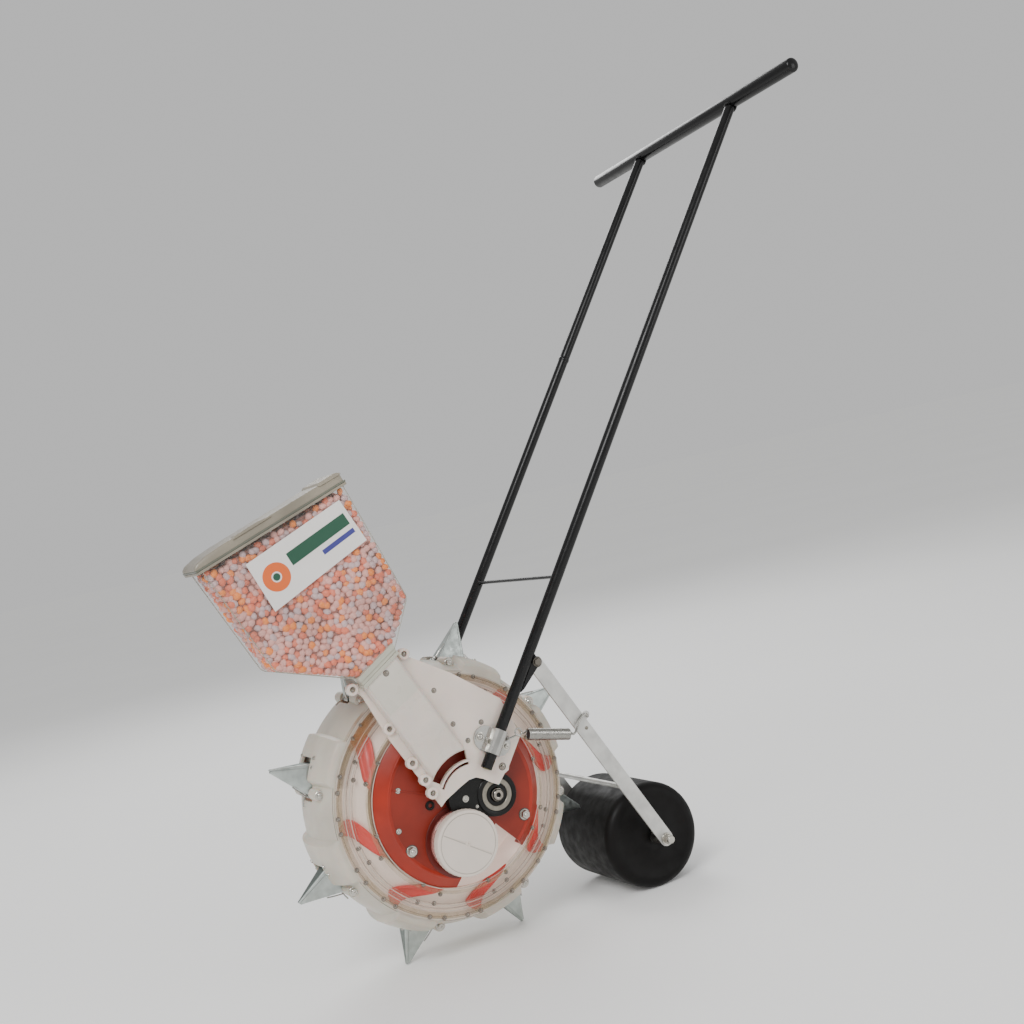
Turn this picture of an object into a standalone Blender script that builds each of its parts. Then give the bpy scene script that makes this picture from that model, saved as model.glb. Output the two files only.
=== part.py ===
"""Push seeder: a spiked seed drum between two handle poles, with a hopper on its left and a roller behind.

The drum's axle runs along Y and the seeder travels towards -X, so its left side is -Y. Every size below
is in millimetres, measured from the middle of the axle, and becomes metres when a mesh is made. The seeder
stands on two spikes and the roller. The world origin is on the ground, under its bounding box's middle.
"""

from math import acos, atan2, cos, hypot, pi, radians, sin

import bmesh
import bpy
from mathutils import Matrix, Vector

MM = 0.001
GAP = 0.3

SPIKES = 8
SPIKE_TIP_R = 245.0
SPIKE_ANGLES = [22.5 + 45.0 * k for k in range(SPIKES)]
SPIKE_TIP_V = 2.2
GROUND_Z = -SPIKE_TIP_R * cos(radians(22.5)) - SPIKE_TIP_V * sin(radians(22.5))
AXLE_X = -192.6

POLE_FOOT = Vector((33.0, 0.0, 34.0))
POLE_TILT = radians(36.5)
POLE_LENGTH = 1098.0
POLE_Y = 137.0
POLE_R = 8.0
POLE_WALL = 1.5
BAR_LENGTH = 590.0
BAR_R = 11.0
CROSS_ROD_S = 287.0

TREAD_PROFILE = [(171.0, 69.0), (174.5, 64.0), (181.0, 45.0), (186.5, 20.0)]
PAD_HEIGHTS = [6.0, 9.0, 9.0, 9.0]
RIM_WALL = 3.5
RIM_STATIONS = [(-18.5, 0), (-17.0, 1), (-7.5, 1), (-2.0, 1), (1.5, 1), (3.0, 0), (10.5, 0), (18.5, 0)]

HOUSING_FACE_Y = -108.0
HOUSING_FACE_R = 106.0
HOUSING_RIM_R = 124.0
HOUSING_RIM_Y = -92.0
HOUSING_BACK_Y = -42.0
PLATE_Y = (-128.5, -124.5)
CHUTE_FRONT_Y = -148.0
CHUTE_TOP = Vector((-90.4, 0.0, 212.0))
CHUTE_FOOT = Vector((-19.2, 0.0, 56.8))
CHUTE_HALF_WIDTH = 30.0
HOPPER_Y = (-148.0, -80.0)
SHEET = 2.5

METER = Vector((46.5, 0.0, -8.0))
CAP = Vector((-17.0, 0.0, -55.5))
AXLE_R = 10.0
BEARING_R = 22.5

ARM_PIVOT = Vector((142.0, 0.0, 156.0))
ROLLER_R = 78.0
ROLLER_AXIS = Vector((294.7, 0.0, GROUND_Z + ROLLER_R))
ROLLER_HALF = 85.0
ARM_TOP_Y = 131.0
ARM_FOOT_Y = 119.0
ARM_THICK = 3.5
ARM_HALF_WIDTH = 11.0

PIN_U, PIN_V = 182.5, 22.0
JAW_SHEET = 1.3
JAW_SPLIT = 0.8
JAW_OPENING_START = 174.0


def clear_scene():
    for obj in list(bpy.data.objects):
        bpy.data.objects.remove(obj)


def material(name, color, roughness, metallic=0.0, alpha=1.0):
    mat = bpy.data.materials.new(name)
    mat.use_nodes = True
    shader = mat.node_tree.nodes["Principled BSDF"]
    shader.inputs["Base Color"].default_value = (*color, 1.0)
    shader.inputs["Roughness"].default_value = roughness
    shader.inputs["Metallic"].default_value = metallic
    shader.inputs["Alpha"].default_value = alpha
    return mat


# Shapes are (vertices, faces), with the vertices in millimetres from the axle.


def spun(profile, segments=48, centre=(0.0, 0.0)):
    """A solid turned about Y from a closed profile of (radius, y) points, none of them on the axis."""
    verts = []
    for i in range(segments):
        turn = 2 * pi * i / segments
        verts += [(centre[0] + r * cos(turn), y, centre[1] + r * sin(turn)) for r, y in profile]
    n = len(profile)
    faces = []
    for i in range(segments):
        a, b = i * n, (i + 1) % segments * n
        faces += [(a + j, a + (j + 1) % n, b + (j + 1) % n, b + j) for j in range(n)]
    return verts, faces


def lofted(loops):
    """A solid through matching closed loops, with flat ends."""
    n = len(loops[0])
    verts = [point for loop in loops for point in loop]
    faces = []
    for k in range(len(loops) - 1):
        a, b = k * n, (k + 1) * n
        faces += [(a + j, a + (j + 1) % n, b + (j + 1) % n, b + j) for j in range(n)]
    faces.append(tuple(range(n)))
    faces.append(tuple(range((len(loops) - 1) * n, len(loops) * n)))
    return verts, faces


def circle(radius, segments=24, centre=(0.0, 0.0), first=0.0):
    """Points (x, z) round a circle."""
    turns = [first + 2 * pi * i / segments for i in range(segments)]
    return [(centre[0] + radius * cos(t), centre[1] + radius * sin(t)) for t in turns]


def arc(radius, start_deg, end_deg, steps, centre=(0.0, 0.0)):
    """Points (x, z) along an arc, both ends included."""
    turns = [radians(start_deg + (end_deg - start_deg) * i / steps) for i in range(steps + 1)]
    return [(centre[0] + radius * cos(t), centre[1] + radius * sin(t)) for t in turns]


def prism(outline, y0, y1):
    """An (x, z) outline extruded along Y."""
    return lofted([[(x, y, z) for x, z in outline] for y in (y0, y1)])


def disc(radius, y0, y1, centre=(0.0, 0.0), segments=24):
    return prism(circle(radius, segments, centre), y0, y1)


def cylinder(start, end, radius, segments=24):
    """A cylinder between two points."""
    axis = (Vector(end) - Vector(start)).normalized()
    side = axis.cross(Vector((0, 1, 0)) if abs(axis.y) < 0.9 else Vector((1, 0, 0))).normalized()
    other = axis.cross(side)
    loops = []
    for point in (Vector(start), Vector(end)):
        ring = [point + side * x + other * z for x, z in circle(radius, segments)]
        loops.append([tuple(p) for p in ring])
    return lofted(loops)


def swept(path, radius, segments=10):
    """A round wire along a list of points."""
    points = [Vector(p) for p in path]
    loops = []
    side = None
    for i, point in enumerate(points):
        ahead = points[min(i + 1, len(points) - 1)] - points[max(i - 1, 0)]
        ahead.normalize()
        if side is None:
            side = ahead.orthogonal().normalized()
        side = (side - ahead * side.dot(ahead)).normalized()
        other = ahead.cross(side)
        loops.append([tuple(point + side * x + other * z) for x, z in circle(radius, segments)])
    return lofted(loops)


def mesh_of(shape, pivot=Vector((0, 0, 0))):
    """A Blender mesh in metres about the pivot, with its faces pointing out."""
    verts, faces = shape
    mesh = bpy.data.meshes.new("shape")
    mesh.from_pydata([(Vector(v) - pivot) * MM for v in verts], [], faces)
    builder = bmesh.new()
    builder.from_mesh(mesh)
    bmesh.ops.recalc_face_normals(builder, faces=builder.faces)
    if builder.calc_volume(signed=True) < 0:
        bmesh.ops.reverse_faces(builder, faces=builder.faces)
    builder.to_mesh(mesh)
    builder.free()
    return mesh


def place(name, mesh, mat, pivot=Vector((0, 0, 0))):
    """An object with its origin at the pivot, shaded smooth where it is round."""
    mesh.name = name
    mesh.materials.clear()
    mesh.materials.append(mat)
    mesh.shade_smooth()
    mesh.set_sharp_from_angle(angle=radians(35))
    obj = bpy.data.objects.new(name, mesh)
    obj.location = (Vector((AXLE_X, 0, -GROUND_Z)) + pivot) * MM
    bpy.context.collection.objects.link(obj)
    return obj


def combined(mesh, shape, operation, pivot=Vector((0, 0, 0))):
    """The mesh with a shape joined to it or cut from it."""
    base = bpy.data.objects.new("base", mesh)
    tool = bpy.data.objects.new("tool", mesh_of(shape, pivot))
    for obj in (base, tool):
        bpy.context.collection.objects.link(obj)
    step = base.modifiers.new("step", "BOOLEAN")
    step.operation = operation
    step.solver = "EXACT"
    step.object = tool
    bpy.context.view_layer.update()
    graph = bpy.context.evaluated_depsgraph_get()
    result = bpy.data.meshes.new_from_object(base.evaluated_get(graph))
    bpy.data.objects.remove(base)
    bpy.data.objects.remove(tool)
    return result


def build(name, mat, base, joined=(), cuts=(), pivot=Vector((0, 0, 0))):
    """A node made from a base shape, the shapes joined to it and the shapes cut from it."""
    mesh = mesh_of(base, pivot)
    for shape in joined:
        mesh = combined(mesh, shape, "UNION", pivot)
    for shape in cuts:
        mesh = combined(mesh, shape, "DIFFERENCE", pivot)
    return place(name, mesh, mat, pivot)


def mirrored(shape):
    """The same shape on the other side of the seeder."""
    return [(x, -y, z) for x, y, z in shape[0]], shape[1]


def on_side(side, *shapes):
    """Shapes drawn for the left side, mirrored when side is 1 (the right)."""
    return [shape if side < 0 else mirrored(shape) for shape in shapes]


# The handle.


def along_pole(s, n=0.0, y=-POLE_Y):
    """The point s up a pole from its foot and n behind its middle line."""
    up = Vector((sin(POLE_TILT), 0, cos(POLE_TILT)))
    back = Vector((cos(POLE_TILT), 0, -sin(POLE_TILT)))
    point = POLE_FOOT + up * s + back * n
    return Vector((point.x, y, point.z))


def make_handle(black):
    bar = along_pole(POLE_LENGTH)
    turns = (0.12, 0.55, 0.95, 1.35, pi / 2)
    round_end = [(BAR_R * sin(t), BAR_LENGTH / 2 - BAR_R * (1 - cos(t))) for t in turns]
    profile = round_end + [(r, -y) for r, y in reversed(round_end)]
    rings = [[(bar.x + r * x, y, bar.z + r * z) for x, z in circle(1.0, 24)] for r, y in profile]
    build("handle_bar", black, lofted(rings))
    for side, name in ((-1, "left_handle_pole"), (1, "right_handle_pole")):
        solid = cylinder(along_pole(0), along_pole(POLE_LENGTH - 2), POLE_R)
        bore = cylinder(along_pole(-5), along_pole(POLE_LENGTH - 16), POLE_R - POLE_WALL)
        cope = cylinder((bar.x, -170, bar.z), (bar.x, -100, bar.z), BAR_R + GAP)
        shapes = on_side(side, solid, bore, cope)
        build(name, black, shapes[0], cuts=shapes[1:])
    rod = along_pole(CROSS_ROD_S)
    end = POLE_Y - POLE_R - GAP
    build("pole_cross_rod", black, cylinder((rod.x, -end, rod.z), (rod.x, end, rod.z), 2.5, 12))


CLAMP_S = 38.5
CLAMP_HALF_LENGTH = 17.25
CLAMP_BOLTS = [(37.0, -23.1), (39.3, 18.9)]
CLAMP_HOOK = (47.9, 15.5)
CLAMP_PLATE = 3.0
SADDLE = [(-15.5, -131.0), (-11.5, -137.0), (-9.5, -143.0), (-6.0, -147.6), (0.0, -149.5)]
SADDLE += [(6.0, -147.6), (9.5, -143.0), (11.5, -137.0), (12.9, -131.0)]


def pole_frame_prism(outline, y0, y1):
    """An outline of (s, n) points in a pole's own directions, extruded along Y."""
    return prism([along_pole(s, n).xz for s, n in outline], y0, y1)


def make_clamp(side, zinc, steel):
    """A saddle over the pole's foot, bolted through the side plate on both sides of it."""
    name = "left" if side < 0 else "right"
    foot = PLATE_Y[0] - GAP
    low, high = CLAMP_S - CLAMP_HALF_LENGTH, CLAMP_S + CLAMP_HALF_LENGTH
    ears = arc(CLAMP_HALF_LENGTH, 0, 180, 8, (CLAMP_S, 8.5))
    ears += arc(CLAMP_HALF_LENGTH, 180, 360, 8, (CLAMP_S, -14.5))
    section = SADDLE + [(12.9, foot), (-15.5, foot)]
    saddle = lofted([[tuple(along_pole(s, n, y)) for n, y in section] for s in (low, high)])
    plate = pole_frame_prism(ears, foot - CLAMP_PLATE, foot)
    channel = cylinder(along_pole(low - 9), along_pole(high + 9), POLE_R + GAP, 32)
    inner = POLE_R + GAP
    throat = pole_frame_prism(
        [(low - 9, -inner), (high + 9, -inner), (high + 9, inner), (low - 9, inner)], -POLE_Y, foot + 9
    )
    trim_edge = [(low - 9, -40), (high + 9, -40), (high + 9, 40), (low - 9, 40)]
    trim = pole_frame_prism(trim_edge, foot, foot + 20)
    bolts = [along_pole(s, n) for s, n in CLAMP_BOLTS]
    holes = [disc(3.3, -150, -100, bolt.xz, 16) for bolt in bolts]
    holes.append(disc(2.3, -150, -100, along_pole(*CLAMP_HOOK).xz, 12))
    shapes = on_side(side, saddle, plate, channel, throat, trim, *holes)
    build(f"{name}_clamp", zinc, shapes[0], joined=shapes[1:2], cuts=shapes[2:])
    for bolt, end in zip(bolts, ("front", "rear")):
        head = foot - CLAMP_PLATE - GAP
        profile = [(0.5, head - 4.5), (4.0, head - 4.5), (5.5, head - 3.0), (5.5, head), (3.0, head)]
        profile += [(3.0, PLATE_Y[1] + 0.5), (0.5, PLATE_Y[1] + 0.5)]
        rings = [[(bolt.x + r * x, y, bolt.z + r * z) for x, z in circle(1.0, 16)] for r, y in profile]
        build(f"{name}_clamp_bolt_{end}", steel, on_side(side, lofted(rings))[0])


# The drum. Spike k has its own directions: u outwards, v round the drum the way it rolls forwards.


def polar(radius, angle_deg, y):
    return (radius * cos(radians(angle_deg)), y, radius * sin(radians(angle_deg)))


def spike_point(angle_deg, u, v, y):
    turn = radians(angle_deg)
    return (u * cos(turn) - v * sin(turn), y, u * sin(turn) + v * cos(turn))


def make_rim(milky):
    """The tread: a crowned hoop, with a raised pad and a slot for each spike."""
    half = list(zip(TREAD_PROFILE, PAD_HEIGHTS))
    profile = [(r, -y, pad) for (r, y), pad in half] + [(r, y, pad) for (r, y), pad in reversed(half)]
    stations = [(spike + turn, pad) for spike in SPIKE_ANGLES for turn, pad in RIM_STATIONS]
    slots = [(i % len(RIM_STATIONS)) in (2, 3, 4, 5) for i in range(len(stations))]
    n, m = len(profile), len(stations)
    verts = []
    for turn, pad in stations:
        ring = [(r + rise * pad, y) for r, y, rise in profile]
        verts += [polar(r, turn, y) for r, y in ring]
        verts += [polar(r - RIM_WALL, turn, y) for r, y in ring]
    faces = []
    middle = n // 2 - 1

    def outer(i, j):
        return i % m * 2 * n + j

    def inner(i, j):
        return i % m * 2 * n + n + j

    for i in range(m):
        for j in range(n - 1):
            if slots[i] and j == middle:
                faces.append((outer(i, j), outer(i + 1, j), inner(i + 1, j), inner(i, j)))
                faces.append((outer(i, j + 1), outer(i + 1, j + 1), inner(i + 1, j + 1), inner(i, j + 1)))
                continue
            faces.append((outer(i, j), outer(i + 1, j), outer(i + 1, j + 1), outer(i, j + 1)))
            faces.append((inner(i, j), inner(i, j + 1), inner(i + 1, j + 1), inner(i + 1, j)))
        for j in (0, n - 1):
            faces.append((outer(i, j), outer(i + 1, j), inner(i + 1, j), inner(i, j)))
        if slots[i] != slots[i - 1]:
            faces.append((outer(i, middle), outer(i, middle + 1), inner(i, middle + 1), inner(i, middle)))
    build("drum_rim", milky, (verts, faces))


def make_covers(milky):
    """The left cover is a ring round the seed housing. The right one closes the drum."""
    ring_y = -69.0 - GAP
    near = [(171, ring_y), (171, ring_y - 3), (152, ring_y - 3), (151, ring_y - 6)]
    near += [(124.8, -93.5), (124.8, -90.5), (149.5, ring_y - 3), (151, ring_y)]
    build("drum_left_cover", milky, spun(near, 56))
    ring_y = -ring_y
    hub = AXLE_R + GAP
    far = [(171, ring_y), (171, ring_y + 3), (152, ring_y + 3), (122, 95), (26, 95), (24, 102)]
    far += [(hub, 102), (hub, 60), (22, 60), (22, 92), (121, 92), (150, ring_y)]
    build("drum_right_cover", milky, spun(far, 48))


VANE_LEADING = [(126.5, 2), (134, -2.5), (141, -9), (149, -15), (158, -18.5), (166, -19.5)]
VANE_TRAILING = [(126.5, -13), (131, -17), (139, -22.5), (148, -26), (157, -26), (166, -23)]
POCKET_LEADING = [(129.5, -1), (135, -5.5), (141, -11.5), (147, -17)]
POCKET_TRAILING = [(129.5, -12), (132, -15), (139.5, -20.5), (146, -23.5)]
WEB_Y = (22.0, 25.0)


def vane_shape(spike, leading, trailing, recess, far):
    """A scoop, or the pocket in it, between two curved sides and along the left cover's slope."""
    loops = []
    for ahead, behind in zip(leading, trailing):
        near = -66.5 + recess - max(0.0, 151.0 - max(ahead[0], behind[0])) * 0.72
        corners = ((ahead, near), (ahead, far), (behind, far), (behind, near))
        loops.append([polar(r, spike + turn, y) for (r, turn), y in corners])
    return lofted(loops)


def make_vanes(red):
    """Eight scoops that lift seed from the housing's edge out to the spikes, on one web."""
    web = spun([(126.5, WEB_Y[0]), (180, WEB_Y[0]), (180, WEB_Y[1]), (126.5, WEB_Y[1])], 48)
    scoops = []
    pockets = []
    for spike in SPIKE_ANGLES:
        scoops.append(vane_shape(spike, VANE_LEADING, VANE_TRAILING, 0, WEB_Y[1] - 1))
        pockets.append(vane_shape(spike, POCKET_LEADING, POCKET_TRAILING, -9, WEB_Y[0] - 2))
    build("seed_vanes", red, web, joined=scoops, cuts=pockets)


def spike_lines(u):
    """At height u: the trailing face, the split between the jaws, the leading face and the half width."""
    down = SPIKE_TIP_R - u
    return -SPIKE_TIP_V - 0.29 * down, -0.3 - 0.22 * down, SPIKE_TIP_V + 0.4 * down, 2.6 + 0.2 * down


def fixed_jaw_loop(u):
    trailing, split, _, half = spike_lines(u)
    inside = half - JAW_SHEET
    wall = trailing + JAW_SHEET
    path = [(split, -half), (trailing, -half), (trailing, half), (split, half)]
    path += [(split, inside), (wall, inside), (wall, -inside), (split, -inside)]
    return [(u, y, v) for v, y in path]


def moving_jaw_loop(u):
    _, split, leading, half = spike_lines(u)
    edge = split + JAW_SPLIT
    inside = half - JAW_SHEET
    wall = leading - JAW_SHEET
    path = [(edge, -half), (leading, -half), (leading, half), (edge, half)]
    path += [(edge, inside), (wall, inside), (wall, -inside), (edge, -inside)]
    return [(u, y, v) for v, y in path]


def turned_about_axle(mesh, angle_deg):
    """A copy of a mesh drawn with u along +X and v along +Z, turned to a spike's angle."""
    copy = mesh.copy()
    copy.transform(Matrix.Rotation(-radians(angle_deg), 4, "Y"))
    return copy


def make_jaws(zinc):
    channel = mesh_of(lofted([fixed_jaw_loop(JAW_OPENING_START), fixed_jaw_loop(SPIKE_TIP_R)]))
    foot = [(185.3, -29.0), (187.0, -29.0), (187.0, -15.5), (185.3, -15.5)]
    fixed = combined(channel, prism(foot, -27.0, 27.0), "UNION")
    flap = lofted([moving_jaw_loop(184.0), moving_jaw_loop(SPIKE_TIP_R - 1.5)])
    barrel = cylinder((PIN_U, -19.4, PIN_V), (PIN_U, 19.4, PIN_V), 5.4, 16)
    pin = Vector((PIN_U, 0, PIN_V))
    moving = combined(mesh_of(flap, pin), barrel, "UNION", pin)
    for k, spike in enumerate(SPIKE_ANGLES, start=1):
        place(f"spike_{k}_fixed_jaw", turned_about_axle(fixed, spike), zinc)
        at = Vector(spike_point(spike, PIN_U, PIN_V, 0))
        place(f"spike_{k}_moving_jaw", turned_about_axle(moving, spike), zinc, at)


# The seed housing inside the drum, with what is fixed to it.

OUTLET = (-104.0, -50.0)
HOUSING_BOLT_ANGLES = (90.0, -151.0, -30.0)
HOUSING_BOLT_R = 100.0


def feed_window(margin):
    """The opening that seed falls through at the chute's foot, with a margin round it."""
    run = (CHUTE_FOOT - CHUTE_TOP).normalized()
    side = Vector((-run.z, 0, run.x))
    middle = CHUTE_FOOT - run * 28.0
    corners = []
    for a, b in ((-1, -1), (1, -1), (1, 1), (-1, 1)):
        corners.append((middle + run * a * (14.0 + margin) + side * b * (21.0 + margin)).xz)
    return corners


def make_housing(red):
    """A cup that the drum turns round: seed enters its face, is metered inside and leaves at the bottom."""
    face, rim = HOUSING_FACE_Y, HOUSING_RIM_Y
    outer = [(12.0, face), (HOUSING_FACE_R, face), (HOUSING_FACE_R + 2, face + 1.5), (HOUSING_RIM_R, rim)]
    outer += [(HOUSING_RIM_R, rim + 3), (120.5, rim + 3), (120.5, HOUSING_BACK_Y), (12.0, HOUSING_BACK_Y)]
    inner = [(12.0, HOUSING_BACK_Y - 3), (117.5, HOUSING_BACK_Y - 3), (117.5, rim + 1)]
    inner += [(104.0, face + 3), (12.0, face + 3)]
    wedge = arc(135, *OUTLET, 8) + arc(64, OUTLET[1], OUTLET[0], 6)
    outlet = prism(wedge, face - 5, HOUSING_BACK_Y - 6)
    seat = disc(50, face, face + 3, CAP.xz, 32)
    cuts = [
        disc(12.0, face - 5, face + 6),
        disc(40.5, face - 5, face + 6, CAP.xz, 32),
        disc(9.5, face - 5, face + 6, METER.xz, 20),
        prism(feed_window(0), face - 5, face + 6),
    ]
    for angle in HOUSING_BOLT_ANGLES:
        x, _, z = polar(HOUSING_BOLT_R, angle, 0)
        cuts.append(disc(3.3, face - 5, face + 3.5, (x, z), 12))
    mesh = mesh_of(spun(outer + inner, 48))
    mesh = combined(mesh, outlet, "DIFFERENCE")
    mesh = combined(mesh, seat, "UNION")
    for cut in cuts:
        mesh = combined(mesh, cut, "DIFFERENCE")
    place("seed_housing", mesh, red)


def make_housing_bolts(steel):
    face = HOUSING_FACE_Y
    for k, angle in enumerate(HOUSING_BOLT_ANGLES, start=1):
        x, _, z = polar(HOUSING_BOLT_R, angle, 0)
        profile = [(0.5, face - 6.5), (4.5, face - 6.5), (7.0, face - 4), (7.0, face - GAP)]
        profile += [(3.0, face - GAP), (3.0, face + 2.5), (0.5, face + 2.5)]
        rings = [[(x + r * a, y, z + r * b) for a, b in circle(1.0, 16)] for r, y in profile]
        build(f"housing_bolt_{k}", steel, lofted(rings))


NECK_R = 43.0


def make_clean_out(collar_mat, cap_mat):
    """A threaded neck low on the housing's face, and its screw cap."""
    base = HOUSING_FACE_Y - GAP
    neck = [(NECK_R, base), (NECK_R, base - 3), (41.5, base - 4), (41.5, -131.0)]
    neck += [(38.5, -131.0), (38.5, base)]
    build("clean_out_neck", collar_mat, spun(neck, 32, CAP.xz))
    front, back = -140.0, -126.0
    shell = []
    for r, y in ((45.0, back), (45.0, front + 1.5), (43.5, front)):
        shell.append([(x, y, z) for x, z in circle(r, 32, CAP.xz)])
    inside = disc(42.3, front + 5, back + 5, CAP.xz, 32)
    pivot = Vector((CAP.x, front, CAP.z))
    build("clean_out_cap", cap_mat, lofted(shell), cuts=[inside], pivot=pivot)


def pear_outline():
    """Round the axle at one end and round the metering shaft's bearing at the other."""
    small, big = 25.0, 30.0
    reach = hypot(METER.x, METER.z)
    lean = atan2(METER.z, METER.x)
    spread = acos((small - big) / reach)
    start, end = lean + spread, lean + 2 * pi - spread
    at_axle = [start + (end - start) * i / 10 for i in range(11)]
    at_shaft = [lean - spread + 2 * spread * i / 14 for i in range(15)]
    outline = [(small * cos(t), small * sin(t)) for t in at_axle]
    return outline + [(METER.x + big * cos(t), METER.z + big * sin(t)) for t in at_shaft]


def make_metering(black, grey, steel, red):
    """The drive case on the housing's face, and the metering wheel on its shaft inside the housing."""
    back, front = HOUSING_FACE_Y - GAP, -121.7
    pocket = disc(BEARING_R + GAP, front - 5, -110.5, METER.xz, 32)
    recess = disc(NECK_R + GAP, front - 5, back + 5, CAP.xz, 32)
    shaft_hole = disc(9.5, front - 5, back + 5, METER.xz, 20)
    axle_hole = disc(AXLE_R + GAP, -116.5, back + 5, (0, 0), 24)
    cuts = [pocket, shaft_hole, axle_hole, recess]
    build("drive_case", black, prism(pear_outline(), front, back), cuts=cuts)
    race = [(BEARING_R, -111), (BEARING_R, -122.5), (15.5, -122.5), (15, -121), (9.5, -121), (9.5, -111)]
    build("shaft_bearing", grey, spun(race, 32, METER.xz))
    shaft = [(3.5, -128.0), (8.2, -128.0), (9.0, -127.2), (9.0, -106.5), (6.0, -106.5), (6.0, -56.0)]
    shaft += [(1.0, -56.0), (1.0, -110.0), (3.5, -110.0)]
    build("metering_shaft", steel, spun(shaft, 16, METER.xz), pivot=METER)
    teeth = []
    for k in range(8):
        turn = 45.0 * k
        notch = Vector(polar(36.0, turn, 0)) + METER
        teeth += arc(5.5, turn + 260, turn + 100, 5, notch.xz)
        teeth += arc(36.0, turn + 14, turn + 31, 2, METER.xz)
    build(
        "metering_wheel",
        red,
        prism(teeth, -101.0, -62.0),
        cuts=[disc(6.3, -110, -50, METER.xz, 16)],
        pivot=METER,
    )


def make_axle(steel, grey):
    """The axle turns with the drum, in the housing's middle on the left and in a bearing on the right."""
    nose, shoulder, tip = -115.5, 131.5, 141.0
    profile = [(0.5, nose), (AXLE_R, nose), (AXLE_R, shoulder), (7.5, shoulder), (7.5, tip), (0.5, tip)]
    rings = [[(r * a, y, r * b) for a, b in circle(1.0, 24)] for r, y in profile]
    build("drum_axle", steel, lofted(rings))
    nut = disc(13.0, shoulder + GAP, shoulder + 7, (0, 0), 6)
    build("axle_nut", steel, nut, cuts=[disc(7.8, shoulder - 3, shoulder + 12, (0, 0), 24)])
    outer = [(20.0, 120), (20.0, 131), (AXLE_R + 0.2, 131), (AXLE_R + 0.2, 120)]
    build("axle_bearing", grey, spun(outer, 32))


# The side plates, the chute and the hopper.

PLATE_TOP = [(80, 120), (16, 173), (-17, 195), (-45, 214)]
PLATE_FRONT = [(-126, 190), (-113, 173), (-90, 108), (-39, 1)]
PLATE_HUB = [(-30, 8), (-19, 13), (-6, 19), (8, 24.6), (19, 25), (30, 19.5), (40, 11.5)]
PLATE_REAR = [(50, 5.5), (62, 18), (69, 21), (71, 26), (98, 62)]
SLOT_CENTRE = (10.0, 0.0)
PLATE_BOSSES = [(-88, 123), (-67, 70), (-54, 43), (-48, 23)]
PLATE_LUGS = [(-126, 187), (-45, 215)]


def arc_slot(inner, outer, start_deg, end_deg):
    edge = arc(outer, start_deg, end_deg, 8, SLOT_CENTRE) + arc(inner, end_deg, start_deg, 8, SLOT_CENTRE)
    return prism(edge, PLATE_Y[0] - 5, PLATE_Y[1] + 5)


def make_left_plate(white):
    """The plate that carries the chute and the left pole, with a seed collar behind it and arc windows."""
    outline = PLATE_TOP + PLATE_FRONT + PLATE_HUB + PLATE_REAR
    joined = [disc(8.0, PLATE_Y[0] - 0.8, PLATE_Y[1] + 1.5, at, 12) for at in PLATE_BOSSES + PLATE_LUGS]
    joined.append(prism(feed_window(2.5), PLATE_Y[1] - 1, HOUSING_FACE_Y - GAP))
    cuts = [prism(feed_window(0), -150, -100), arc_slot(53, 66, 88, 145), arc_slot(45.3, 49, 86, 151)]
    bolts = [along_pole(s, n) for s, n in CLAMP_BOLTS]
    cuts += [disc(3.3, -150, -100, bolt.xz, 16) for bolt in bolts]
    build("left_side_plate", white, prism(outline, *PLATE_Y), joined=joined, cuts=cuts)


def make_right_plate(white):
    """A plain plate from the right pole to the axle's bearing."""
    outline = arc(38, 120, 330, 12) + [(62, 18), (98, 62), (88, 108), (48, 118), (8, 88)]
    holes = [disc(20.3, 100, 150, (0, 0), 32)]
    bolts = [along_pole(s, n) for s, n in CLAMP_BOLTS]
    holes += [disc(3.3, 100, 150, bolt.xz, 16) for bolt in bolts]
    build("right_side_plate", white, prism(outline, -PLATE_Y[1], -PLATE_Y[0]), cuts=holes)


CHUTE_END = Vector((2.5, 0.0, 3.8))
CHUTE_END_R = 66.0


def chute_corners(half, above, below):
    """The chute's outline as a straight strip, its ends moved out by above and below."""
    run = (CHUTE_FOOT - CHUTE_TOP).normalized()
    side = Vector((-run.z, 0, run.x)) * half
    top, foot = CHUTE_TOP - run * above, CHUTE_FOOT + run * below
    return [(top - side).xz, (top + side).xz, (foot + side).xz, (foot - side).xz]


def chute_outline(half, above, radius):
    """The same strip, its foot hollowed to a circle that keeps clear of the plate's arc windows."""
    run = (CHUTE_FOOT - CHUTE_TOP).normalized()
    side = Vector((-run.z, 0, run.x))
    middle = (CHUTE_FOOT - CHUTE_END).dot(side)
    foot = []
    for i in range(13):
        n = half - 2 * half * i / 12
        reach = (radius * radius - (middle + n) ** 2) ** 0.5
        foot.append((CHUTE_END + side * (middle + n) - run * reach).xz)
    top = CHUTE_TOP - run * above
    return [(top - side * half).xz, (top + side * half).xz] + foot


def make_chute(white):
    back = PLATE_Y[0] - GAP - 0.5
    shell = prism(chute_outline(CHUTE_HALF_WIDTH, 0, CHUTE_END_R), CHUTE_FRONT_Y, back)
    inside = chute_outline(CHUTE_HALF_WIDTH - SHEET, 10, CHUTE_END_R + SHEET)
    hollow = prism(inside, CHUTE_FRONT_Y + SHEET, back + 10)
    bosses = [disc(8.4, back - 12, back + 12, at, 12) for at in PLATE_BOSSES]
    build("feed_chute", white, shell, cuts=[hollow] + bosses)


RIM_LEFT = Vector((-288.5, 0, 382.0))
RIM_RIGHT = Vector((-82.5, 0, 452.6))
FLANGE = 4.0
RIM_FRONT = 19.0
RIM_REAR = 6.0
RIM_SIDE = 3.0
LID_HEIGHT = 13.5


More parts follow.
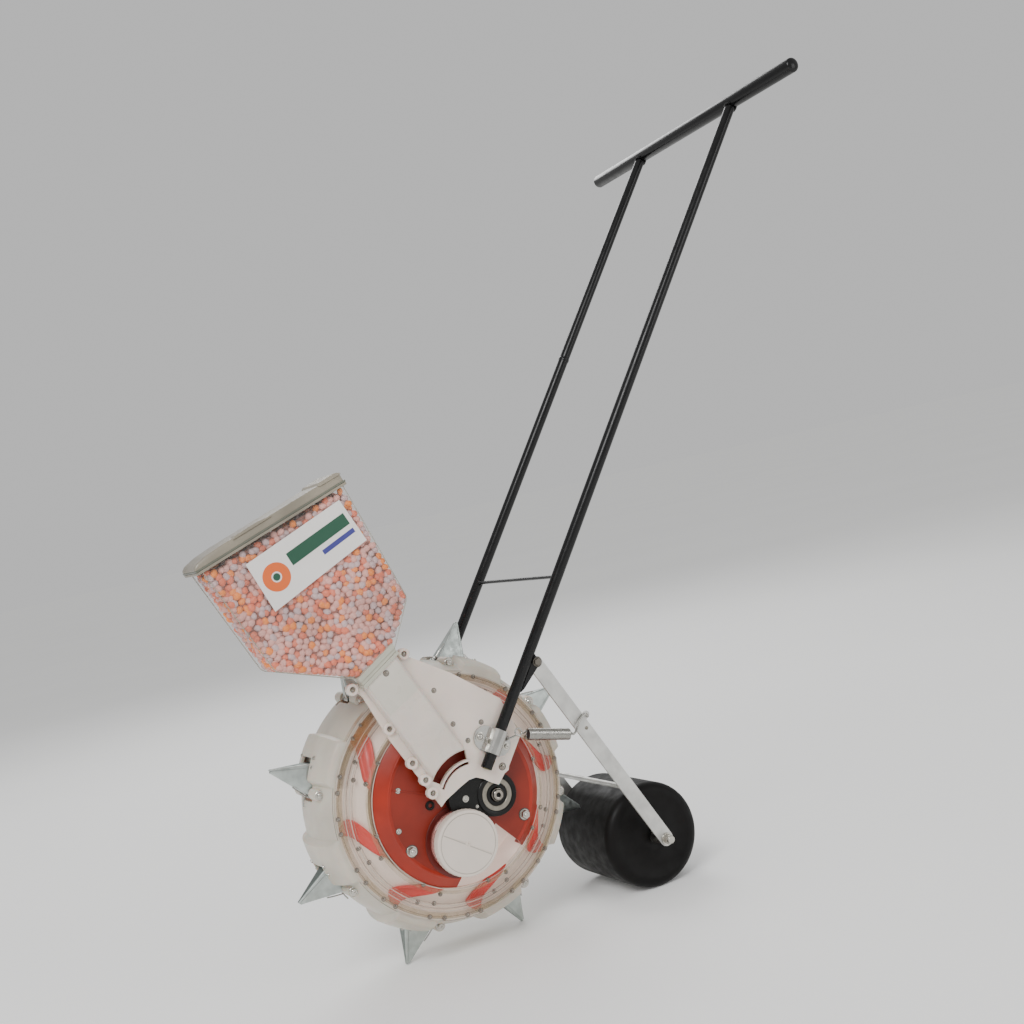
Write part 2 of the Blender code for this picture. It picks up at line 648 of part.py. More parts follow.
def hopper_outline(inset):
    """The hopper's side view, moved in by the wall's thickness, from the rim's left end and round it."""
    along = (RIM_RIGHT - RIM_LEFT).normalized()
    run = (CHUTE_FOOT - CHUTE_TOP).normalized()
    side = Vector((-run.z, 0, run.x))
    neck = CHUTE_TOP - run * (1.0 + inset)
    neck_half = 31.0 - inset
    left = RIM_LEFT + along * inset
    right = RIM_RIGHT - along * inset
    front_foot = Vector((-226 + inset, 0, 237.5 + inset * 0.7))
    shoulder = (-43.0 - inset * 0.6, 290.0)
    bulge = arc(13.0, 22, -18, 3, shoulder)
    neck_left, neck_right = neck - side * neck_half, neck + side * neck_half
    return [left.xz, front_foot.xz, neck_left.xz, neck_right.xz] + bulge[::-1] + [right.xz]


def rim_box(front, rear, low, high, inset):
    """A slab along the hopper's sloping rim, between two heights above its wall.

    It runs past the wall by front and rear at its ends, and by inset less than the rim at its sides.
    """
    y0, y1 = HOPPER_Y[0] - RIM_SIDE + inset, HOPPER_Y[1] + RIM_SIDE - inset
    along = (RIM_RIGHT - RIM_LEFT).normalized()
    up = Vector((-along.z, 0, along.x))
    left, right = RIM_LEFT - along * front, RIM_RIGHT + along * rear
    corners = ((left, low), (right, low), (right, high), (left, high))
    return prism([(p + up * h).xz for p, h in corners], y0, y1)


def make_hopper(clear):
    """A clear bin with a rim flange, and a spigot that drops into the chute."""
    y0, y1 = HOPPER_Y
    body = prism(hopper_outline(0), y0, y1)
    hollow = prism(hopper_outline(SHEET), y0 + SHEET, y1 - SHEET)
    flange = rim_box(RIM_FRONT, RIM_REAR, 0, FLANGE, 0)
    mouth = rim_box(-SHEET, -SHEET, -30, FLANGE + 5, RIM_SIDE + SHEET)
    spigot_half = CHUTE_HALF_WIDTH - SHEET - GAP
    spigot = prism(chute_corners(spigot_half, 6, -150), CHUTE_FRONT_Y + SHEET + GAP, -130.2)
    throat = prism(chute_corners(spigot_half - 2, 16, -140), CHUTE_FRONT_Y + SHEET + GAP + 2, -132.2)
    build("hopper_bin", clear, body, joined=[flange, spigot], cuts=[hollow, mouth, throat])


def make_lid(grey):
    """A shallow cap on the rim with a grip near its front and a raised hinge block at its rear."""
    low = FLANGE + GAP
    shell = rim_box(RIM_FRONT, RIM_REAR, low, low + LID_HEIGHT, 0)
    hollow = rim_box(RIM_FRONT - SHEET, RIM_REAR - SHEET, low - 5, low + LID_HEIGHT - SHEET, SHEET)
    along = (RIM_RIGHT - RIM_LEFT).normalized()
    up = Vector((-along.z, 0, along.x))
    blocks = []
    for start, end, rise in ((54, 82, 3.5), (172, 223, 3.0)):
        heights = ((start, low + LID_HEIGHT - 1), (end, low + LID_HEIGHT - 1))
        tops = ((end - 3, low + LID_HEIGHT + rise), (start + 3, low + LID_HEIGHT + rise))
        outline = [(RIM_LEFT + along * s + up * h).xz for s, h in heights + tops]
        blocks.append(prism(outline, HOPPER_Y[0] + RIM_SIDE, HOPPER_Y[1] - RIM_SIDE))
    hinge = RIM_RIGHT + along * RIM_REAR + up * low
    build("hopper_lid", grey, shell, joined=blocks, cuts=[hollow], pivot=hinge)


# The press roller on its sprung arms.

ARM_RUN = (ROLLER_AXIS - ARM_PIVOT).normalized()
ARM_SIDE = Vector((-ARM_RUN.z, 0, ARM_RUN.x))
ARM_LENGTH = (ROLLER_AXIS - ARM_PIVOT).length
TAB_S, TAB_N = 112.0, 15.0


def on_arm(s, n, y):
    point = ARM_PIVOT + ARM_RUN * s + ARM_SIDE * n
    return (point.x, y, point.z)


def arm_y(s):
    return -(ARM_TOP_Y + (ARM_FOOT_Y - ARM_TOP_Y) * s / ARM_LENGTH)


def make_arms(zinc):
    """Two flat bars that lean in towards the roller, each with a spring's tab, and the rod between them."""
    w = ARM_HALF_WIDTH
    foot = arc(w, -90, 90, 6, (ARM_LENGTH, 0))
    tab = arc(5.5, 0, 180, 4, (TAB_S, TAB_N))
    outline = [(-6, -w * 0.5), (-1, -w)] + foot + [(TAB_S + 5.5, w)] + tab
    outline += [(TAB_S - 5.5, w), (-1, w), (-6, w * 0.5)]
    loops = []
    for offset in (-ARM_THICK / 2, ARM_THICK / 2):
        loops.append([on_arm(s, n, arm_y(s) + offset) for s, n in outline])
    strip = lofted(loops)
    holes = [disc(3.1, -150, -100, ARM_PIVOT.xz, 24), disc(6.2, -150, -100, ROLLER_AXIS.xz, 24)]
    holes.append(disc(2.2, -150, -100, Vector(on_arm(TAB_S, TAB_N, 0)).xz, 12))
    for side, name in ((-1, "left"), (1, "right")):
        shapes = on_side(side, strip, *holes)
        build(f"{name}_roller_arm", zinc, shapes[0], cuts=shapes[1:], pivot=ARM_PIVOT)
    rod_s = 240.0
    reach = -arm_y(rod_s) - ARM_THICK / 2 - GAP
    rod = cylinder(on_arm(rod_s, 0, -reach), on_arm(rod_s, 0, reach), 4.0, 16)
    build("roller_arm_cross_rod", zinc, rod, pivot=ARM_PIVOT)


def make_roller(black, steel):
    """A hollow roller that turns on a fixed axle between the arms."""
    h, r = ROLLER_HALF, ROLLER_R
    edge = [(r - 14 + 14 * sin(t), h - 9 + 9 * cos(t)) for t in (0.0, 0.5, 1.0, pi / 2)]
    bore = 6.1
    outer = [(bore, h)] + edge + [(a, -b) for a, b in reversed(edge)] + [(bore, -h)]
    wall = 3.0
    half_inner = [(r - wall, h - 12), (r - 14, h - wall), (bore, h - wall)]
    inner = [(a, -b) for a, b in reversed(half_inner)] + half_inner
    build("press_roller", black, spun(outer + inner, 44, ROLLER_AXIS.xz), pivot=ROLLER_AXIS)
    inside, outside = ARM_FOOT_Y - ARM_THICK / 2 - 0.9, ARM_FOOT_Y + ARM_THICK / 2 + 0.9
    half = [(5.5, 134.0), (5.5, outside + 6), (9.0, outside + 6), (9.0, outside)]
    half += [(6.0, outside), (6.0, inside)]
    half += [(9.0, inside), (9.0, h + 0.6), (6.0, h + 0.6)]
    profile = [(0.5, 134.0)] + half + [(a, -b) for a, b in reversed(half)] + [(0.5, -134.0)]
    rings = []
    for a, y in profile:
        rings.append([(x, y, z) for x, z in circle(a, 16, ROLLER_AXIS.xz)])
    build("roller_axle", steel, lofted(rings), pivot=ARM_PIVOT)


LUG_Y = (-140.0, -134.5)


def make_lugs(black, steel):
    """A lug welded behind each pole and the bolt that an arm swings on."""
    eye_s = (ARM_PIVOT - POLE_FOOT).dot(Vector((sin(POLE_TILT), 0, cos(POLE_TILT))))
    eye_n = (ARM_PIVOT - POLE_FOOT).dot(Vector((cos(POLE_TILT), 0, -sin(POLE_TILT))))
    against = POLE_R + GAP
    eye = arc(8, 150, -30, 6, (eye_s, eye_n))
    outline = [(eye_s - 48, against), (eye_s - 42, against + 3)] + eye + [(eye_s + 9, against)]
    for side, name in ((-1, "left"), (1, "right")):
        lug = pole_frame_prism(outline, *LUG_Y)
        hole = disc(3.2, -150, -100, ARM_PIVOT.xz, 24)
        shapes = on_side(side, lug, hole)
        build(f"{name}_arm_lug", black, shapes[0], cuts=shapes[1:])
        head = LUG_Y[0] - GAP
        nut = -ARM_TOP_Y + ARM_THICK / 2 + GAP + 0.4
        profile = [(0.5, head - 4), (4.5, head - 4), (5.8, head - 2.5), (5.8, head), (3.0, head), (3.0, nut)]
        profile += [(5.5, nut), (5.5, nut + 4), (0.5, nut + 4)]
        rings = []
        for r, y in profile:
            rings.append([(x, y, z) for x, z in circle(r, 16, ARM_PIVOT.xz)])
        build(f"{name}_arm_bolt", steel, on_side(side, lofted(rings))[0])


SPRING_R = 8.5
SPRING_Y = -140.5


def make_springs(zinc):
    """A close-wound spring from the clamp's rear bolt to the arm's tab, with a wire hook at each end."""
    front, rear = Vector((104, SPRING_Y, 62.7)), Vector((166.2, SPRING_Y, 45.6))
    run = (rear - front).normalized()
    eye = along_pole(*CLAMP_HOOK)
    tab = Vector(on_arm(TAB_S, TAB_N, 0))
    hook_y = arm_y(TAB_S) - ARM_THICK / 2 - 2.2
    body = cylinder(front, rear, SPRING_R, 24)
    front_hook = [front + run * 4, front - run * 5, (91, -140, 68), (82, -138.8, 67)]
    front_hook += [(eye.x + 3, -137.6, eye.z + 1), (eye.x + 0.6, -136, eye.z + 0.2)]
    front_hook += [(eye.x, -133.5, eye.z), (eye.x, -129.8, eye.z)]
    rear_hook = [rear - run * 4, rear + run * 5, (178, -138, 45.5), (187, -134.5, 53)]
    rear_hook += [(tab.x - 9, hook_y - 1.0, tab.z - 0.5), (tab.x - 3, hook_y, tab.z)]
    rear_hook.append((tab.x + 1, hook_y, tab.z - 3))
    wires = [swept(front_hook, 1.5), swept(rear_hook, 1.5)]
    for side, name in ((-1, "left"), (1, "right")):
        shapes = on_side(side, body, *wires)
        build(f"{name}_return_spring", zinc, shapes[0], joined=shapes[1:])


def main():
    clear_scene()
    black = material("black_enamel", (0.012, 0.012, 0.013), 0.25)
    zinc = material("zinc_plate", (0.55, 0.57, 0.56), 0.35, 1.0)
    steel = material("bolt_steel", (0.62, 0.61, 0.58), 0.3, 1.0)
    bearing = material("bearing_grey", (0.35, 0.34, 0.31), 0.45, 1.0)
    milky = material("milky_plastic", (0.72, 0.66, 0.60), 0.35)
    white = material("white_plastic", (0.78, 0.74, 0.70), 0.4)
    red = material("red_plastic", (0.55, 0.075, 0.035), 0.4)
    clear = material("clear_plastic", (0.80, 0.80, 0.76), 0.15, alpha=0.35)
    lid = material("lid_plastic", (0.55, 0.54, 0.47), 0.4)
    rubber = material("roller_black", (0.008, 0.008, 0.008), 0.5)

    make_handle(black)
    for side in (-1, 1):
        make_clamp(side, zinc, steel)
    make_rim(milky)
    make_covers(milky)
    make_vanes(red)
    make_jaws(zinc)
    make_housing(red)
    make_housing_bolts(steel)
    make_clean_out(red, white)
    make_metering(black, bearing, steel, red)
    make_axle(steel, bearing)
    make_left_plate(white)
    make_right_plate(white)
    make_chute(white)
    make_hopper(clear)
    make_lid(lid)
    make_arms(zinc)
    make_roller(rubber, steel)
    make_lugs(black, steel)
    make_springs(zinc)


main()
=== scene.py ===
import random
from math import cos, pi, radians, sin

import bmesh
import bpy
from mathutils import Euler, Matrix, Vector


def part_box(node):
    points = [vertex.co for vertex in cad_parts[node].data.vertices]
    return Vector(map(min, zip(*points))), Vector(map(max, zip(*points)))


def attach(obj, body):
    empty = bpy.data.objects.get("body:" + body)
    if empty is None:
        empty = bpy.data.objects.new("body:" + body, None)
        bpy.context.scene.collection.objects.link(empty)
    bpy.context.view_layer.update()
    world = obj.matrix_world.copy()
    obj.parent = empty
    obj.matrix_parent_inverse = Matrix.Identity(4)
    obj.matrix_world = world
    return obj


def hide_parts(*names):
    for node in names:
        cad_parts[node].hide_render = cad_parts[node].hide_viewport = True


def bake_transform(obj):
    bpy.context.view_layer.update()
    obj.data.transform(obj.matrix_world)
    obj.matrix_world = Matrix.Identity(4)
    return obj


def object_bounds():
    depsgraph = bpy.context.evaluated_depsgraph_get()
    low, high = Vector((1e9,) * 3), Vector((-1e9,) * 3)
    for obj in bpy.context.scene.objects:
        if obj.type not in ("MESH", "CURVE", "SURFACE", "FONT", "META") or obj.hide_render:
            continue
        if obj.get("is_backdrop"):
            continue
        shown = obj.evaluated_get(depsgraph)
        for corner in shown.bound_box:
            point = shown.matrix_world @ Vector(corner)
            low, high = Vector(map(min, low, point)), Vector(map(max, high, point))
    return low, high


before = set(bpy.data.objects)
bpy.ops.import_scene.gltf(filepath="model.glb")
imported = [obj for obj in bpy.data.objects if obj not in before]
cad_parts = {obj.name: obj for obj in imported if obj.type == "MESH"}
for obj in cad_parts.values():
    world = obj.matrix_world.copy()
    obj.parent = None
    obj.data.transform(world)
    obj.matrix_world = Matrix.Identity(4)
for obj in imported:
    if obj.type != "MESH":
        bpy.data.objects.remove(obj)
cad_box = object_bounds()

# Shapes are drawn in millimetres from the middle of the drum's axle, as in the CAD, and placed in metres.

MM = 0.001
axle_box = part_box("drum_axle")
AXLE = Vector(((axle_box[0][0] + axle_box[1][0]) / 2, 0, (axle_box[0][2] + axle_box[1][2]) / 2))
GROUND = -AXLE.z / MM
SPIKES = [22.5 + 45 * k for k in range(8)]
SIDES = ((-1, "left"), (1, "right"))


def at(x, y, z):
    return AXLE + Vector((x, y, z)) * MM


def local(node):
    """A CAD node's box in millimetres from the axle."""
    lo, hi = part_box(node)
    return (Vector(lo) - AXLE) / MM, (Vector(hi) - AXLE) / MM


# Materials


def shader_of(mat):
    return mat.node_tree.nodes["Principled BSDF"]


def material(name, color, roughness, metallic=0.0, **inputs):
    mat = bpy.data.materials.new(name)
    mat.use_nodes = True
    shader = shader_of(mat)
    shader.inputs["Base Color"].default_value = (*color, 1)
    shader.inputs["Roughness"].default_value = roughness
    shader.inputs["Metallic"].default_value = metallic
    for key, value in inputs.items():
        shader.inputs[key.replace("_", " ")].default_value = value
    return mat


def mapped(mat, texture, scale, place=(0, 0, 0)):
    """The texture lies in the object's own space, scaled and moved there."""
    nodes, links = mat.node_tree.nodes, mat.node_tree.links
    coords, mapping = nodes.new("ShaderNodeTexCoord"), nodes.new("ShaderNodeMapping")
    mapping.inputs["Scale"].default_value = scale
    mapping.inputs["Location"].default_value = place
    links.new(coords.outputs["Object"], mapping.inputs["Vector"])
    links.new(mapping.outputs["Vector"], texture.inputs["Vector"])


def noise_node(mat, scale, detail=4.0, stretch=(1, 1, 1)):
    texture = mat.node_tree.nodes.new("ShaderNodeTexNoise")
    texture.inputs["Scale"].default_value = scale
    texture.inputs["Detail"].default_value = detail
    mapped(mat, texture, stretch)
    return texture


def ramp_node(mat, source, low, high, start=0.35, end=0.65):
    ramp = mat.node_tree.nodes.new("ShaderNodeValToRGB")
    ramp.color_ramp.elements[0].position = start
    ramp.color_ramp.elements[0].color = (*low, 1)
    ramp.color_ramp.elements[1].position = end
    ramp.color_ramp.elements[1].color = (*high, 1)
    mat.node_tree.links.new(source, ramp.inputs["Fac"])
    return ramp


def vary(mat, scale, low, high, slot="Base Color"):
    """One of the shader's inputs drifts between two values."""
    texture = noise_node(mat, scale)
    ramp = ramp_node(mat, texture.outputs["Fac"], low, high)
    mat.node_tree.links.new(ramp.outputs["Color"], shader_of(mat).inputs[slot])
    return mat


def scuff(mat, scale, low, high):
    """The roughness drifts between two values."""
    return vary(mat, scale, (low,) * 3, (high,) * 3, "Roughness")


def grain(mat, scale, strength, distance=0.0004, stretch=(1, 1, 1)):
    """A fine relief in the surface."""
    texture = noise_node(mat, scale, 6.0, stretch)
    bump = mat.node_tree.nodes.new("ShaderNodeBump")
    bump.inputs["Strength"].default_value = strength
    bump.inputs["Distance"].default_value = distance
    mat.node_tree.links.new(texture.outputs["Fac"], bump.inputs["Height"])
    mat.node_tree.links.new(bump.outputs["Normal"], shader_of(mat).inputs["Normal"])
    return mat


def plastic(name, color, roughness, spread=0.06, **inputs):
    """A moulded plastic with faint flow marks."""
    low = [max(0.0, c * (1 - spread)) for c in color]
    high = [min(1.0, c * (1 + spread)) for c in color]
    mat = material(name, color, roughness, **inputs)
    vary(mat, 18, low, high)
    scuff(mat, 60, roughness - 0.06, roughness + 0.08)
    return grain(mat, 900, 0.06, 0.0002)


def metal(name, color, roughness, scale=120, relief=0.12):
    """A bare or plated metal, its tone and its polish a little uneven."""
    low = [c * 0.86 for c in color]
    high = [min(1.0, c * 1.08) for c in color]
    mat = material(name, color, roughness, 1.0)
    vary(mat, scale, low, high)
    scuff(mat, scale * 1.6, roughness - 0.08, roughness + 0.1)
    return grain(mat, scale * 8, relief, 0.0002)


ENAMEL = grain(scuff(material("enamel", (0.0042, 0.0042, 0.0045), 0.26, Specular_IOR_Level=0.3),
                     90, 0.2, 0.32), 260, 0.05, 0.0002)
ZINC = metal("arm_zinc", (0.60, 0.595, 0.57), 0.44, scale=40, relief=0.05)
GALV = metal("spike_zinc", (0.47, 0.51, 0.485), 0.36, scale=90, relief=0.08)
# A darker copy of the spike zinc: painted shade on the back of each spike's web.
GALV_PAINTED_SHADE = metal("spike_back_shade", (0.17, 0.20, 0.185), 0.42, scale=90, relief=0.08)
CAST = metal("clamp_zinc", (0.46, 0.455, 0.43), 0.24, scale=25, relief=0.01)
STEEL = metal("bolt_steel", (0.55, 0.53, 0.48), 0.24, scale=60, relief=0.02)
SCREW = metal("screw_steel", (0.33, 0.30, 0.26), 0.22, scale=60, relief=0.02)
DULL = metal("shield_steel", (0.27, 0.25, 0.21), 0.42, scale=120)
PIN = metal("pin_steel", (0.16, 0.145, 0.125), 0.3, scale=60, relief=0.02)
SPRING = metal("spring_steel", (0.43, 0.42, 0.39), 0.24, scale=60, relief=0.02)
# Near-black rings round screw and bolt heads: painted contact shadow.
PAINTED_SCREW_SHADOW = material("screw_shadow", (0.085, 0.062, 0.05), 0.7)
TREAD = plastic("tread_milky", (0.55, 0.505, 0.425), 0.40, 0.09, Subsurface_Weight=0.25,
                Subsurface_Scale=0.006)
COVER = plastic("cover_clear", (0.80, 0.67, 0.56), 0.34, 0.03, Alpha=0.035, Specular_IOR_Level=0.3)
FLANGE_MILKY = plastic("flange_milky", (0.76, 0.65, 0.54), 0.42, 0.04, Alpha=0.11, Specular_IOR_Level=0.3)
RIDGE = plastic("cover_ridge", (0.72, 0.64, 0.55), 0.45, 0.05, Alpha=0.6, Specular_IOR_Level=0.3)
# Dark thin rings in the cover's grooves: painted shade.
GROOVE_SHADE = plastic("cover_groove", (0.40, 0.31, 0.24), 0.5, 0.05, Alpha=0.4)
# The web's off-white glows a little: painted light in the shaded inside of the drum.
WEB_GLOW = plastic("web_milky_glow", (0.78, 0.65, 0.55), 0.5, 0.05,
                  Emission_Color=(0.9, 0.72, 0.62, 1), Emission_Strength=0.07)
WHITE = plastic("plate_white", (0.74, 0.64, 0.565), 0.4, 0.05,
                Subsurface_Weight=0.2, Subsurface_Scale=0.004)
CHUTE = plastic("chute_milky", (0.67, 0.59, 0.52), 0.3, 0.05, Subsurface_Weight=0.2, Subsurface_Scale=0.004)
CHUTE_UPPER = plastic("chute_grey", (0.60, 0.56, 0.485), 0.3, 0.05)
COLLAR = plastic("collar_grey", (0.44, 0.43, 0.35), 0.3, 0.1)
# Dark beige: painted shadow beside the cap's ridge and in its rim groove.
CAP_SHADOW = plastic("cap_shadow", (0.43, 0.385, 0.33), 0.5, 0.05)
CAPWHITE = plastic("cap_white", (0.69, 0.61, 0.535), 0.42, 0.03)
RED = plastic("housing_red", (0.215, 0.018, 0.0075), 0.36, 0.14, Specular_IOR_Level=0.35)
# A lighter copy of the housing red for its rim: painted light on the rim.
RIM_RED_LIT = plastic("rim_red_lit", (0.31, 0.025, 0.011), 0.34, 0.14, Specular_IOR_Level=0.35)
# The vanes' red glows a little: painted light inside the shaded drum.
VANE = plastic("vane_red_glow", (0.52, 0.011, 0.006), 0.4, 0.12,
               Emission_Color=(0.6, 0.03, 0.015, 1), Emission_Strength=0.12)
NECK = plastic("neck_clear", (0.42, 0.17, 0.15), 0.14, 0.2, Alpha=0.5)
# Near-black red: painted shadow round the clean-out neck.
NECK_SHADOW = plastic("neck_shadow", (0.10, 0.010, 0.007), 0.35, 0.25)
BIN = plastic("bin_clear", (0.86, 0.82, 0.76), 0.14, 0.02, Alpha=0.04)
BIN_EDGE = plastic("bin_edge", (0.36, 0.34, 0.27), 0.2, 0.04, Alpha=0.5)
# Off-white that glows: painted light in the housing's shaded inside.
HOUSING_INSIDE_GLOW = plastic("housing_inside_glow", (0.78, 0.66, 0.58), 0.5, 0.05,
                 Emission_Color=(0.9, 0.70, 0.60, 1), Emission_Strength=0.5)
LID = plastic("lid_smoky", (0.25, 0.22, 0.168), 0.34, 0.16)
CASE = grain(scuff(material("case_black", (0.005, 0.005, 0.0045), 0.3, Specular_IOR_Level=0.25),
                   80, 0.25, 0.45), 500, 0.12)
ROLLER = grain(scuff(material("roller_black", (0.0035, 0.003, 0.0028), 0.5, Specular_IOR_Level=0.18),
                     70, 0.42, 0.6), 180, 0.35, 0.0006, (1, 5, 1))
# Near-black: painted shade inside the pole ends and the spring coils.
HOLE_SHADE = material("hole_shade", (0.012, 0.010, 0.010), 0.6)
PLUG = plastic("pole_plug", (0.20, 0.17, 0.06), 0.5, 0.1)
# Near-black: painted shade of the gap under the lid, on its lip.
LID_GAP_SHADE = plastic("lid_edge_shade", (0.12, 0.125, 0.095), 0.34, 0.1)
LABEL = plastic("label_white", (0.76, 0.73, 0.70), 0.35, 0.02)
STRIPE_GREEN = plastic("label_green", (0.012, 0.075, 0.04), 0.4, 0.04)
STRIPE_ORANGE = plastic("label_orange", (0.72, 0.13, 0.02), 0.4, 0.04)
STRIPE_BLUE = plastic("label_blue", (0.04, 0.04, 0.22), 0.4, 0.04)
SEEDS = [plastic("seed_pale", (0.64, 0.32, 0.27), 0.5, 0.16),
         plastic("seed_grey", (0.50, 0.35, 0.35), 0.5, 0.14),
         plastic("seed_salmon", (0.66, 0.15, 0.075), 0.5, 0.18),
         plastic("seed_orange", (0.78, 0.215, 0.03), 0.5, 0.16)]
# Darker than any seed: painted shade between and behind the kernels.
SEED_GAP_SHADE = plastic("seed_shade", (0.34, 0.12, 0.085), 0.6, 0.2)
FLOOR = vary(material("floor_pale", (0.94, 0.94, 0.93), 1.0, Specular_IOR_Level=0.0,
                      Emission_Color=(1, 1, 1, 1), Emission_Strength=0.05),
             0.8, (0.93, 0.93, 0.92), (0.95, 0.95, 0.94))


def stain(name, color, strength, centre=None, size=1.0):
    """A patchy tint, clear in places, that fades out away from its centre if it has one."""
    mat = material(name, color, 0.4, Specular_IOR_Level=0.3)
    nodes, links = mat.node_tree.nodes, mat.node_tree.links
    texture = noise_node(mat, 26, 3.0)
    ramp = ramp_node(mat, texture.outputs["Fac"], (strength * 0.3,) * 3, (strength,) * 3, 0.35, 0.62)
    fade = ramp.outputs["Color"]
    if centre:
        ball = nodes.new("ShaderNodeTexGradient")
        ball.gradient_type = "SPHERICAL"
        mapped(mat, ball, (1 / size,) * 3, -at(*centre) / size)
        times = nodes.new("ShaderNodeMath")
        times.operation = "MULTIPLY"
        links.new(ball.outputs["Fac"], times.inputs[0])
        links.new(fade, times.inputs[1])
        fade = times.outputs["Value"]
    links.new(fade, shader_of(mat).inputs["Alpha"])
    return mat


AMBER = stain("amber_stain", (0.46, 0.23, 0.10), 0.85, (-109, -70, 121), 0.032)
OLIVE = stain("olive_stain", (0.44, 0.34, 0.20), 0.34)


# Shapes are (vertices, faces)


def circle(radius, segments=48, centre=(0.0, 0.0), first=0.0):
    turns = [first + 2 * pi * i / segments for i in range(segments)]
    return [(centre[0] + radius * cos(t), centre[1] + radius * sin(t)) for t in turns]


def arc(radius, start_deg, end_deg, steps, centre=(0.0, 0.0)):
    turns = [radians(start_deg + (end_deg - start_deg) * i / steps) for i in range(steps + 1)]
    return [(centre[0] + radius * cos(t), centre[1] + radius * sin(t)) for t in turns]


def band(a, b, n):
    """The faces between two closed loops of n vertices, which begin at a and b."""
    return [(a + j, a + (j + 1) % n, b + (j + 1) % n, b + j) for j in range(n)]


def lofted(loops):
    """A solid through matching closed loops, with flat ends."""
    n = len(loops[0])
    verts = [point for loop in loops for point in loop]
    faces = []
    for k in range(len(loops) - 1):
        faces += band(k * n, (k + 1) * n, n)
    faces += [tuple(range(n)), tuple(range((len(loops) - 1) * n, len(loops) * n))]
    return verts, faces


def prism(outline, y0, y1):
    """An (x, z) outline carried straight along Y."""
    return lofted([[(x, y, z) for x, z in outline] for y in (y0, y1)])


def disc(radius, y0, y1, centre=(0.0, 0.0), segments=40):
    return prism(circle(radius, segments, centre), y0, y1)


def softened(profile, radius, steps=3, closed=True):
    """The outline with each corner rounded off."""
    result = []
    n = len(profile)
    for i, point in enumerate(profile):
        here = Vector(point)
        if not closed and i in (0, n - 1):
            result.append(tuple(here))
            continue
        before, after = Vector(profile[i - 1]) - here, Vector(profile[(i + 1) % n]) - here
        cut = min(radius, before.length * 0.45, after.length * 0.45)
        start, end = here + before.normalized() * cut, here + after.normalized() * cut
        for k in range(steps + 1):
            t = k / steps
            result.append(tuple(start * (1 - t) ** 2 + here * 2 * t * (1 - t) + end * t ** 2))
    return result


def ring(profile, segments=128, centre=(0.0, 0.0), soft=0.0):
    """A closed (radius, y) profile turned about Y."""
    profile = softened(profile, soft) if soft else profile
    n = len(profile)
    verts, faces = [], []
    for i in range(segments):
        turn = 2 * pi * i / segments
        verts += [(centre[0] + r * cos(turn), y, centre[1] + r * sin(turn)) for r, y in profile]
        faces += band(i * n, (i + 1) % segments * n, n)
    return verts, faces


def knob(profile, segments=32, centre=(0.0, 0.0), soft=0.0):
    """An open (radius, y) profile turned about Y, closed by its two end discs."""
    profile = softened(profile, soft, closed=False) if soft else profile
    return lofted([[(x, y, z) for x, z in circle(r, segments, centre)] for r, y in profile])


def frame_along(points):
    """Each point of a path with two directions square to the path there."""
    side = None
    for i, point in enumerate(points):
        ahead = (points[min(i + 1, len(points) - 1)] - points[max(i - 1, 0)]).normalized()
        if side is None:
            side = ahead.orthogonal().normalized()
        side = (side - ahead * side.dot(ahead)).normalized()
        yield point, side, ahead.cross(side)


def section(point, side, other, radius, segments):
    """A circle round the point, in the plane of the two directions."""
    return [tuple(point + side * x + other * z) for x, z in circle(radius, segments)]


def wire(path, radius, segments=10):
    """A round bar along a path."""
    return lofted([section(*spot, radius, segments) for spot in frame_along([Vector(p) for p in path])])


def smooth_path(points, steps=6):
    """A smooth curve through the points."""
    pts = [Vector(p) for p in points]
    pts = [pts[0] * 2 - pts[1]] + pts + [pts[-1] * 2 - pts[-2]]
    out = []
    for i in range(1, len(pts) - 2):
        a, b, c, d = pts[i - 1:i + 3]
        for k in range(steps):
            t = k / steps
            out.append(((b * 2) + (c - a) * t + (a * 2 - b * 5 + c * 4 - d) * t * t
                        + (b * 3 - a - c * 3 + d) * t ** 3) * 0.5)
    return out + [pts[-2]]


def tube(start, end, profile, segments=48):
    """A turned shape between two points, from (distance, radius) pairs."""
    start, end = Vector(start), Vector(end)
    axis = (end - start).normalized()
    side = axis.orthogonal().normalized()
    other = axis.cross(side)
    return lofted([section(start + axis * s, side, other, r, segments) for s, r in profile])


def flipped(shape):
    """A shape carried over to the other side of the seeder."""
    return [(x, -y, z) for x, y, z in shape[0]], shape[1]


def sided(side, *shapes):
    """Shapes drawn for the left side, as they are or carried over to the right."""
    return [flipped(shape) if side > 0 else shape for shape in shapes]


def turned(shape, degrees):
    """A shape drawn for a spike along +X, turned to that spike's angle."""
    c, s = cos(radians(degrees)), sin(radians(degrees))
    return [(x * c - z * s, y, x * s + z * c) for x, y, z in shape[0]], shape[1]


def placed(name, data):
    """A new object in the scene."""
    obj = bpy.data.objects.new(name, data)
    bpy.context.scene.collection.objects.link(obj)
    return obj


def mesh_of(name, *shapes):
    """The shapes as one mesh in metres, with all faces turned outwards."""
    mesh = bpy.data.meshes.new(name)
    verts, faces = [], []
    for shape in shapes:
        start = len(verts)
        verts += [at(*v) for v in shape[0]]
        faces += [tuple(start + i for i in face) for face in shape[1]]
    mesh.from_pydata(verts, [], faces)
    builder = bmesh.new()
    builder.from_mesh(mesh)
    bmesh.ops.recalc_face_normals(builder, faces=builder.faces)
    builder.to_mesh(mesh)
    builder.free()
    return mesh


def piece(name, mat, body, *shapes, instead=(), bevel=0.0, sharp=35):
    """One visible object made of the shapes, riding on a CAD body."""
    mesh = mesh_of(name, *shapes)
    mesh.materials.append(mat)
    mesh.shade_smooth()
    mesh.set_sharp_from_angle(angle=radians(sharp))
    obj = placed(name, mesh)
    if bevel:
        add_bevel(obj, bevel)
    if body:
        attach(obj, body)
    if instead:
        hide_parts(*instead)
    return obj


